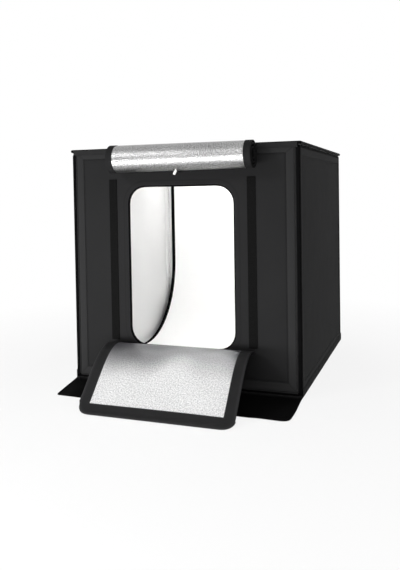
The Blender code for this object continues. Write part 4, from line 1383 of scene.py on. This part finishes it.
def build_backdrop_tape(name, side):
    """Black tape folded over one long edge of the backdrop; it is wider where it lies in front."""
    mesh = bmesh.new()
    inner = side * (BACKDROP_HIGH.x - TAPE_WIDTH)
    loops = []
    for s in BACKDROP_RUN.marks:
        outer = side * (BACKDROP_HIGH.x + TAPE_OUT + 0.0032 * smooth_step(0.50, 0.58, s))
        section = ((outer, -0.0001), (outer, 0.0008), (inner, 0.0010), (inner, 0.0004))
        loops.append([mesh.verts.new(backdrop_place(s, x, w)) for x, w in section])
    join_and_cap(mesh, loops)
    return make_piece(name, mesh, [BACKDROP_TAPE], None, 40)


def bend_backdrop(piece):
    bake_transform(piece)


backdrop = build_backdrop()
backdrop_tapes = [build_backdrop_tape("backdrop_left_tape", -1),
                  build_backdrop_tape("backdrop_right_tape", 1)]
for piece in (backdrop, *backdrop_tapes):
    bend_backdrop(piece)
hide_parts("backdrop_wall", "backdrop_floor")
print("backdrop, top to front:", round(BACKDROP_RUN.length, 3), "m")

# %% [markdown]
# ## Hinge cloth and welts
#
# The panels don't touch: cloth joins them at each fold. A band of black cloth is sewn over the fold
# on the outside, and it bends as the panel opens. So a band is a thin section carried along a
# straight line. Where two panels only meet, at the upright corners and under the top, narrow welts
# close the gap, pale beside the lining and black elsewhere. They don't bend, so each is a thin strip
# with its edges taken off, and it rides with one panel.

# %% Strips of cloth
def hinge_band(name, outer, inner, start, end, bodies, bend, finish=EDGE_TAPE):
    """A band of hinge cloth, from the points of its outer and inner sides; the two bodies it is given are
    not used.
    """
    section = [Vector(point) for point in (*outer, *reversed(inner))]
    mesh = bmesh.new()
    join_and_cap(mesh, [[mesh.verts.new(point + Vector(start).lerp(Vector(end), share))
                         for point in section] for share in spread(0, 1, 48)])
    band = make_piece(name, mesh, [finish], None, 40)
    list(bodies)
    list(bend)
    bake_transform(band)
    return band


# Three values for each place up the band: how far its outer side stands off the wall, how far its
# inner side does, and the place's height above the base.
UPRIGHT_BAND = ((0.0005, -0.0003, -0.0046), (0.0009, -0.0004, -0.0030), (0.0009, -0.0004, 0.0),
                (0.0010, -0.0003, 0.0040), (0.0009, -0.0003, 0.0085), (0.0004, -0.0002, 0.0100))
BASE_TOP = PANELS["base"].middle.z + PANELS["base"].thickness
BEND_BELOW, BEND_ABOVE = Vector((0, 0, 0.003)), Vector((0, 0, 0.004))
hinge_bands = []
for body in ("left_wall", "right_wall", "back_wall"):
    panel = PANELS[body]
    foot = panel.point(0, -panel.half_v)
    foot.z = BASE_TOP
    reach = panel.across * (panel.half_u - 0.0004)
    sides = [[panel.out * point[side] + Vector((0, 0, point[2])) for point in UPRIGHT_BAND]
             for side in (0, 1)]
    hinge_bands.append(hinge_band(
        body + "_hinge_band", *sides, foot - reach, foot + reach,
        ("base", body), (foot - BEND_BELOW, foot + BEND_ABOVE)))
print("bands at the base:", len(hinge_bands))


# %% Bands under the top panel
def top_band(name, body, plane, outer, inner, half, bend, finish=EDGE_TAPE):
    """A band whose points are given as (y from a wall's face, depth under the tent's top)."""
    outer, inner, bend = ([(0, plane + y, TENT_TOP - depth) for y, depth in points]
                          for points in (outer, inner, bend))
    return hinge_band(name, outer, inner, (-half, 0, 0), (half, 0, 0), ("top_panel", body), bend, finish)


WALL_TOP = PANELS["front_wall"].middle.z + PANELS["front_wall"].half_v
BACK = PANELS["back_wall"].middle.y
front_band = top_band(
    "front_wall_hinge_band", "front_wall", FRONT,
    [(-0.0033, 0.0012), (-0.0034, 0.0030), (-0.0028, 0.0060), (-0.0012, 0.0088), (-0.0004, 0.0096)],
    [(-0.0026, 0.0012), (-0.0026, 0.0032), (-0.0016, 0.0060), (-0.0002, 0.0084), (0.0003, 0.0096)],
    PANELS["front_wall"].half_u + 0.0020, [(-0.0030, 0.0030), (-0.0010, 0.0086)], EDGE_CLOTH)
back_band = top_band(
    "top_panel_hinge_band", "back_wall", BACK,
    [(0.0002, 0.0004), (0.0009, 0.0012), (0.0010, 0.0060), (0.0009, 0.0130), (0.0003, 0.0145)],
    [(-0.0004, 0.0012), (-0.0003, 0.0020), (-0.0003, 0.0060), (-0.0003, 0.0130), (-0.0002, 0.0142)],
    PANELS["back_wall"].half_u - 0.0002, [(0, 0.0020), (0, 0.0085)])
print("bands under the top:", front_band.name, back_band.name)


# %% Thin strips
def flat_box(mesh, low, high):
    """A thin strip with its long edges taken off."""
    made = bmesh.ops.create_cube(mesh, size=1.0)
    middle, size = (Vector(low) + Vector(high)) / 2, Vector(high) - Vector(low)
    for vertex in made["verts"]:
        vertex.co = middle + Vector(part * whole for part, whole in zip(vertex.co, size))
    edges = {edge for vertex in made["verts"] for edge in vertex.link_edges}
    bmesh.ops.bevel(mesh, geom=list(edges), offset=min(size) * 0.3, segments=2, affect="EDGES")


def side_box(side, x_span, y_span, z_span):
    """A box's two corners; its x span is measured from the tent's middle out to one side."""
    low_x, high_x = sorted(side * x for x in x_span)
    return (low_x, y_span[0], z_span[0]), (high_x, y_span[1], z_span[1])


def welts(name, body, boxes, finish=INNER_LINING, slot="silver_lining"):
    mesh = bmesh.new()
    for low, high in boxes:
        flat_box(mesh, low, high)
    piece = make_piece(name, mesh, [finish], None, 40)
    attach(piece, body)


SIDES = (-1, 1)
SIDE_WALLS = tuple(zip(("left_wall", "right_wall"), SIDES))
BLACK_TAPE = (EDGE_TAPE, "binding_tape")
print("thin strips ready")

# %% Welts inside the upright corners
WELT_DEPTH, WELT_THICKNESS, WELT_GAP = 0.0080, 0.0008, 0.0006
INNER_SIDE = PANELS["right_wall"].middle.x - PANELS["right_wall"].thickness
TAB_LOW, TAB_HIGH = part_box("front_wall_right_tab")
INNER_FRONT = FRONT + PANELS["front_wall"].thickness
INNER_BACK = BACK - PANELS["back_wall"].thickness
WELT_HEIGHTS = ((BASE_TOP + 0.0008, TAB_LOW.z - 0.0008), (TAB_HIGH.z + 0.0008, WALL_TOP - 0.0095))
for body, side in SIDE_WALLS:
    for ending, near, finish, slot in (
            ("_front_welts", INNER_FRONT + WELT_GAP, BORDER_TAPE, "binding_tape"),
            ("_rear_welts", INNER_BACK - WELT_GAP - WELT_THICKNESS, INNER_LINING, "silver_lining")):
        boxes = [side_box(side, (INNER_SIDE - WELT_DEPTH, INNER_SIDE), (near, near + WELT_THICKNESS), span)
                 for span in WELT_HEIGHTS]
        if ending == "_front_welts":
            boxes.append(side_box(side, (INNER_SIDE + 0.0003, INNER_SIDE + 0.0045),
                                  (INNER_FRONT + 0.00005, INNER_FRONT + 0.00080),
                                  (BASE_TOP + 0.004, WALL_TOP - 0.004)))
        welts(body + ending, body, boxes, finish, slot)
print("inner side at", round(INNER_SIDE, 4))

# %% Welts under the top and along the floor
SKIRT = INNER_SIDE - WELT_GAP
welts("top_panel_skirt", "top_panel", [
    side_box(side, (SKIRT - WELT_THICKNESS, SKIRT), (INNER_FRONT + 0.002, INNER_BACK - 0.002),
             (WALL_TOP - 0.0085, WALL_TOP + 0.0004)) for side in SIDES])
welts("base_welt", "base", [((-INNER_SIDE + 0.009, INNER_FRONT + 0.0020, BASE_TOP - 0.0002),
                             (INNER_SIDE - 0.009, INNER_FRONT + 0.0028, BASE_TOP + 0.0060))])
welts("back_wall_corner_strips", "back_wall", [
    side_box(side, (INNER_SIDE - 0.0060, INNER_SIDE - 0.0013), (INNER_BACK - 0.0010, INNER_BACK - 0.0003),
             (TAB_LOW.z, TAB_HIGH.z)) for side in SIDES])
FLOOR_EDGE = INNER_SIDE - 0.0003
welts("base_corner_strips", "base", [
    side_box(side, (inner, FLOOR_EDGE), (INNER_FRONT + 0.006, INNER_BACK - 0.003), (BASE_TOP + 0.0001, top))
    for side in SIDES
    for inner, top in ((INNER_SIDE - 0.0065, BASE_TOP + 0.0008), (FLOOR_EDGE - 0.0006, BASE_TOP + 0.0062))])
print("floor strips start", round((INNER_SIDE - FLOOR_EDGE) * 1000, 1), "mm from the wall")

# %% Black strips that close the outer edges
WALL_EDGE = PANELS["front_wall"].half_u
welts("front_wall_edge_strips", "front_wall", [
    side_box(side, (WALL_EDGE - 0.0004, WALL_EDGE + 0.0043), (FRONT - 0.0008, FRONT - 0.0001),
             (BASE_TOP + 0.0020, TENT_TOP - 0.0100)) for side in SIDES], *BLACK_TAPE)
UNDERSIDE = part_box("top_panel_binding")[0].z
OUTER_SIDE = PANELS["right_wall"].middle.x
SIDE_TOP = PANELS["right_wall"].middle.z + PANELS["right_wall"].half_v
for body, side in SIDE_WALLS:
    welts(body + "_top_strip", body, [
        side_box(side, (OUTER_SIDE - 0.0020, OUTER_SIDE - 0.0006),
                 (INNER_FRONT + 0.0010, INNER_BACK - 0.0010),
                 (SIDE_TOP - 0.0007, UNDERSIDE - 0.00008))], *BLACK_TAPE)
base_low, base_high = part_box("base_binding")
welts("base_corner_patches", "base", [
    side_box(side, (base_high.x - 0.0075, base_high.x + 0.0026), y_span,
             (base_low.z + 0.0004, base_high.z - 0.0002))
    for side in SIDES
    for y_span in ((base_low.y + 0.0002, base_low.y + 0.0090),
                   (base_high.y - 0.0090, base_high.y - 0.0002))], *BLACK_TAPE)
print("slit under the top:", round((UNDERSIDE - SIDE_TOP) * 1000, 2), "mm")

# %% [markdown]
# ## Cover of the overhead opening
#
# A square of doubled cloth lies over the round opening in the top. Its edge is turned under, so it is
# thicker there, and the middle rests a hair lower. It is drawn with the same rounded loops as the
# panel covers, on a plane of its own.

# %% Opening cover
PORT_COVER_LOW, PORT_COVER_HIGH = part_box("port_flap_cloth")
PORT_COVER_CORNER, PORT_HEM = 0.012, 0.0068
PORT_COVER_PROFILE = (
    (0.0000, 0.0006), (0.0002, 0.0010), (0.0009, 0.0014), (0.0030, 0.0016), (0.0060, 0.0014),
    (0.0068, 0.0011), (0.0076, 0.0012), (0.0120, 0.0013),
)


def port_cover_point(u, v, w):
    sag = 0.0003 * (1 - smooth_step(0.030, 0.062, math.hypot(u, v)))
    wave = 0.0002 * math.sin(60 * u + 1) * math.sin(52 * v)
    return Vector((u, v, PORT_COVER_LOW.z + w + (wave - sag if w > 0.001 else 0)))


def port_cover_outline(inset):
    return rounded_outline(PORT_COVER_LOW.xy, PORT_COVER_HIGH.xy, PORT_COVER_CORNER, inset, 20, 6)


def build_port_cover():
    mesh = bmesh.new()
    low, high = PORT_COVER_LOW.xy, PORT_COVER_HIGH.xy

    def loop(inset, w):
        return [mesh.verts.new(port_cover_point(u, v, w)) for u, v in port_cover_outline(inset)]

    loops = [loop(0.0004, 0.0001)] + [loop(inset, w) for inset, w in PORT_COVER_PROFILE]
    loops += [loop(inset, 0.0013) for inset in (0.020, 0.030, 0.042, 0.055)]
    join_loops(mesh, loops)
    for edge_loop in (loops[0], loops[-1]):
        bmesh.ops.triangle_fill(mesh, use_beauty=True, use_dissolve=False,
                                edges=loop_edges(mesh, edge_loop))

    def edge_gap(place):
        return min(high[0] - abs(place.x), high[1] - abs(place.y))

    # The hem and groove attributes give the cloth its painted sheen on the hem and painted shade in the
    # stitch line.
    cover = make_piece("port_flap_cover", mesh, [PANEL_CLOTH], seen_from_above, 60, {
        "hem": lambda place: 1 - smooth_step(0.0062, 0.0072, edge_gap(place)),
        "groove": lambda place: 1 - smooth_step(0.0002, 0.0012, abs(edge_gap(place) - PORT_HEM)),
        "side_gap": lambda place: high[0] - abs(place.x),
        "end_gap": lambda place: high[1] - abs(place.y)})
    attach(cover, "port_flap")
    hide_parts("port_flap_cloth")
    return cover


port_cover = build_port_cover()
print("opening cover:", len(port_cover.data.polygons), "faces")

# %% [markdown]
# ## Tie of the roll
#
# A loop of thin elastic comes round the underside of the roll from its seam, and the white peg is
# pushed through it. The loop is a tube along a short curve that follows the roll.

# %% Elastic loop
PEG_LOW, PEG_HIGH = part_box("roll_toggle")
ELASTIC_RADIUS = 0.0008
ELASTIC_REACH = ROLL_RADIUS + 0.0012 + ELASTIC_RADIUS
ELASTIC_START, ELASTIC_STEP, ELASTIC_STEPS = -124, 5.5, 16


def tube(name, points, radius, finish, sides=10):
    """A tube along a line of points, closed at both ends."""
    mesh = bmesh.new()
    loops = []
    for index, point in enumerate(points):
        before, after = points[max(index - 1, 0)], points[min(index + 1, len(points) - 1)]
        along = (after - before).normalized()
        side = along.cross(Vector((1, 0, 0))).normalized()
        other = along.cross(side)
        loops.append([mesh.verts.new(point + (side * math.cos(math.tau * step / sides)
                                              + other * math.sin(math.tau * step / sides)) * radius)
                      for step in range(sides)])
    join_and_cap(mesh, loops)
    return make_piece(name, mesh, [finish], None, 50)


def elastic_points(x, lean):
    """Round the underside of the roll, from the peg back to the wall side."""
    points = []
    for step in range(ELASTIC_STEPS + 1):
        angle = math.radians(ELASTIC_START + ELASTIC_STEP * step)
        points.append(Vector((x + lean * (1 - step / ELASTIC_STEPS),
                              ROLL_CENTRE[0] + ELASTIC_REACH * math.cos(angle),
                              ROLL_CENTRE[1] + ELASTIC_REACH * math.sin(angle))))
    return points


peg_middle = (PEG_LOW.x + PEG_HIGH.x) / 2
for name, lean in (("toggle_loop_left", -0.0012), ("toggle_loop_right", 0.0012)):
    loop = tube(name, elastic_points(peg_middle + 0.0008 + lean, lean), ELASTIC_RADIUS, BLACK_PLASTIC)
    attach(loop, "upper_flap")
print("peg at x =", round(peg_middle, 4))

# %% [markdown]
# ## Stitches
#
# Thousands of stitches hold the hems. Geometry Nodes takes the line of a seam, walks along it at one
# stitch after another, and lays a small bead of thread at each. The tree is built once; each body
# gets its own lines, so its stitches move with it.

# %% Stitch tree
STITCH_PITCH, STITCH_LENGTH, STITCH_THICKNESS = 0.0034, 0.0024, 0.00042


def stitch_tree():
    web, given = geometry_tree("stitches", {
        "Pitch": float, "Length": float, "Thickness": float, "Finish": bpy.types.Material})
    curve = web.node("GeometryNodeMeshToCurve", None, {0: given["Geometry"]})
    points = web.node("GeometryNodeCurveToPoints", {"mode": "LENGTH"},
                      {"Curve": curve, "Length": given["Pitch"]})
    bead = web.node("GeometryNodeMeshUVSphere", None, {"Segments": 6, "Rings": 4, "Radius": 0.5})
    size = web.point(given["Thickness"], given["Thickness"], given["Length"])
    laid = web.node("GeometryNodeInstanceOnPoints", None, {
        "Points": points, "Instance": bead, "Rotation": points.beside("Rotation"), "Scale": size})
    return finish_tree(web, laid, given["Finish"])


STITCH_TREE = stitch_tree()


def sew(name, lines):
    """Lay stitches along lines of points; a line whose ends meet is closed."""
    mesh = bmesh.new()
    for line in lines:
        vertices = [mesh.verts.new(point) for point in line]
        for first, second in zip(vertices, vertices[1:]):
            mesh.edges.new((first, second))
    piece = run_tree(name, STITCH_TREE, {
        "Pitch": STITCH_PITCH, "Length": STITCH_LENGTH, "Thickness": STITCH_THICKNESS,
        "Finish": SEWING_THREAD}, mesh_data(name + "_lines", mesh))
    piece.data.shade_smooth()
    return piece


print("stitch tree has", len(STITCH_TREE.nodes), "nodes")


# %% Stitches of the panels
def closed(line):
    return line + [line[0]]


def panel_line(body, outline, w):
    return closed([PANELS[body].point(u, v, w) for u, v in outline])


HEM_STITCH, HEM_STITCH_DEPTH = 0.0176, -0.00058
panel_lines = {
    **{body: [panel_line(body, hem_outline(PANELS[body], HEM_STITCH), HEM_STITCH_DEPTH)]
       for body in ("front_wall", "back_wall", "left_wall", "right_wall", "top_panel", "base")},
    "port_flap": [closed([port_cover_point(u, v, 0.00122) for u, v in port_cover_outline(PORT_HEM)])],
}
panel_lines["front_wall"].append(panel_line("front_wall", window_hole(0.0012), 0.00002))
panel_lines["top_panel"].append(panel_line("top_panel", port_hole(0.0070), -0.0003))
for body, lines in panel_lines.items():
    stitches = sew(body + "_stitches", lines)
    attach(stitches, body)
    print(stitches.name, len(stitches.data.polygons), "faces")


# %% Stitches of the flaps and the lip
def flap_line(side, gap, w):
    """A line down one side of the flap, at a gap from its outer edge."""
    return [flap_place(s, side * (flap_half(side, s) - gap), w)
            for s in spread(0.002, flap_run.length - END_BORDER + 0.002, 60)]


STITCH_IN, STITCH_OUT = 0.0016, 0.0006
flap_stitches = sew("lower_flap_stitches", [
    *(flap_line(side, BORDER - STITCH_IN, STITCH_OUT) for side in SIDES),
    [flap_place(flap_run.length - END_BORDER + STITCH_IN, t, STITCH_OUT) for t in spread(
        -flap_half(-1, flap_run.length) + BORDER, flap_half(1, flap_run.length) - BORDER, 40)]])
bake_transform(flap_stitches)

lip_line = [Vector((x, LIP_HIGH.y - LIP_SEAM + 0.0014, 0.0036 + lip_rise(x, LIP_HIGH.y - LIP_SEAM)))
            for x in spread(0.003 - LIP_SIDE, LIP_SIDE - 0.003, 60)]
lip_stitches = sew("front_lip_stitches", [lip_line])
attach(lip_stitches, "lip")
print("stitches on the soft parts:", len(flap_stitches.data.polygons) + len(lip_stitches.data.polygons))

# %% [markdown]
# ## Studio
#
# The ground is a pale disc that fades out into the white world, so no horizon shows and the tent
# keeps its soft shadow. A small lamp stands to the front left, where the flap's shadow says it is. A
# wide one near the ground in front shines up at the front wall and the rolled flap, and a large weak
# one fills the right side. The world is white to the camera and to reflections, and dimmer as a light.

# %% Ground and world
LIGHT_LEVEL = 0.40
GROUND_RADIUS, GROUND_DROP = 3.0, 0.0004
GROUND_CLEAR = 0.86
FADE_MIDDLE_Y, FADE_START, FADE_WIDTH = -0.14, 0.30, 0.60


def build_ground():
    mesh = bmesh.new()
    bmesh.ops.create_circle(mesh, cap_ends=True, segments=96, radius=GROUND_RADIUS)
    data = mesh_data("ground", mesh)
    ground = add_object("ground", data)
    ground.location.z = -GROUND_DROP
    finish = Finish("pale_ground", (0.97, 0.97, 0.97), 0.8)
    place = finish.place()
    reach = (finish.axis(place, "X") ** 2 + (finish.axis(place, "Y") - FADE_MIDDLE_Y) ** 2) ** 0.5
    fading = ((reach - FADE_START) / FADE_WIDTH).larger(0.0).smaller(1.0)
    fade = GROUND_CLEAR + fading * (1 - GROUND_CLEAR)
    clear = finish.node("ShaderNodeBsdfTransparent")
    mixed = finish.node("ShaderNodeMixShader", None, {
        0: fade, 1: Wire(finish, finish.shader.outputs[0]), 2: clear})
    finish.feed(finish.tree.nodes["Material Output"].inputs["Surface"], mixed)
    data.materials.append(finish.material)


def build_world():
    world = bpy.data.worlds.new("white_studio")
    world.use_nodes = True
    bpy.context.scene.world = world
    web = Web(world.node_tree)
    rays = world.node_tree.nodes.new("ShaderNodeLightPath")
    seen, glossy, through = (Wire(web, rays.outputs["Is %s Ray" % kind])
                             for kind in ("Camera", "Glossy", "Transmission"))
    white = seen.larger(glossy).larger(through)
    background = world.node_tree.nodes["Background"]
    background.inputs["Color"].default_value = (1, 1, 1, 1)
    web.feed(background.inputs["Strength"], LIGHT_LEVEL + white * (1 - LIGHT_LEVEL))


build_ground()
build_world()
print("ground and world ready")


# %% Lamps
def build_lamp(name, place, target, size, power):
    """An area lamp aimed at a target; its size is in metres and its power in watts."""
    data = bpy.data.lights.new(name, "AREA")
    data.shape = "RECTANGLE"
    data.size, data.size_y = size
    data.energy = power
    lamp = add_object(name, data)
    aim = Vector(target) - Vector(place)
    lamp.matrix_world = Matrix.Translation(place) @ aim.to_track_quat("-Z", "Y").to_matrix().to_4x4()


build_lamp("key_lamp", (-1.38, -1.92, 1.40), (0, -0.1, 0.2), (0.40, 0.40), 16.5)
build_lamp("front_lamp", (-0.16, -0.80, 0.03), (0, -0.22, 0.38), (0.96, 0.16), 5.7)
build_lamp("side_lamp", (2.5, -0.7, 0.9), (0, 0, 0.2), (1.0, 1.0), 3.0)
print("lamps:", [light.name for light in bpy.data.lights])
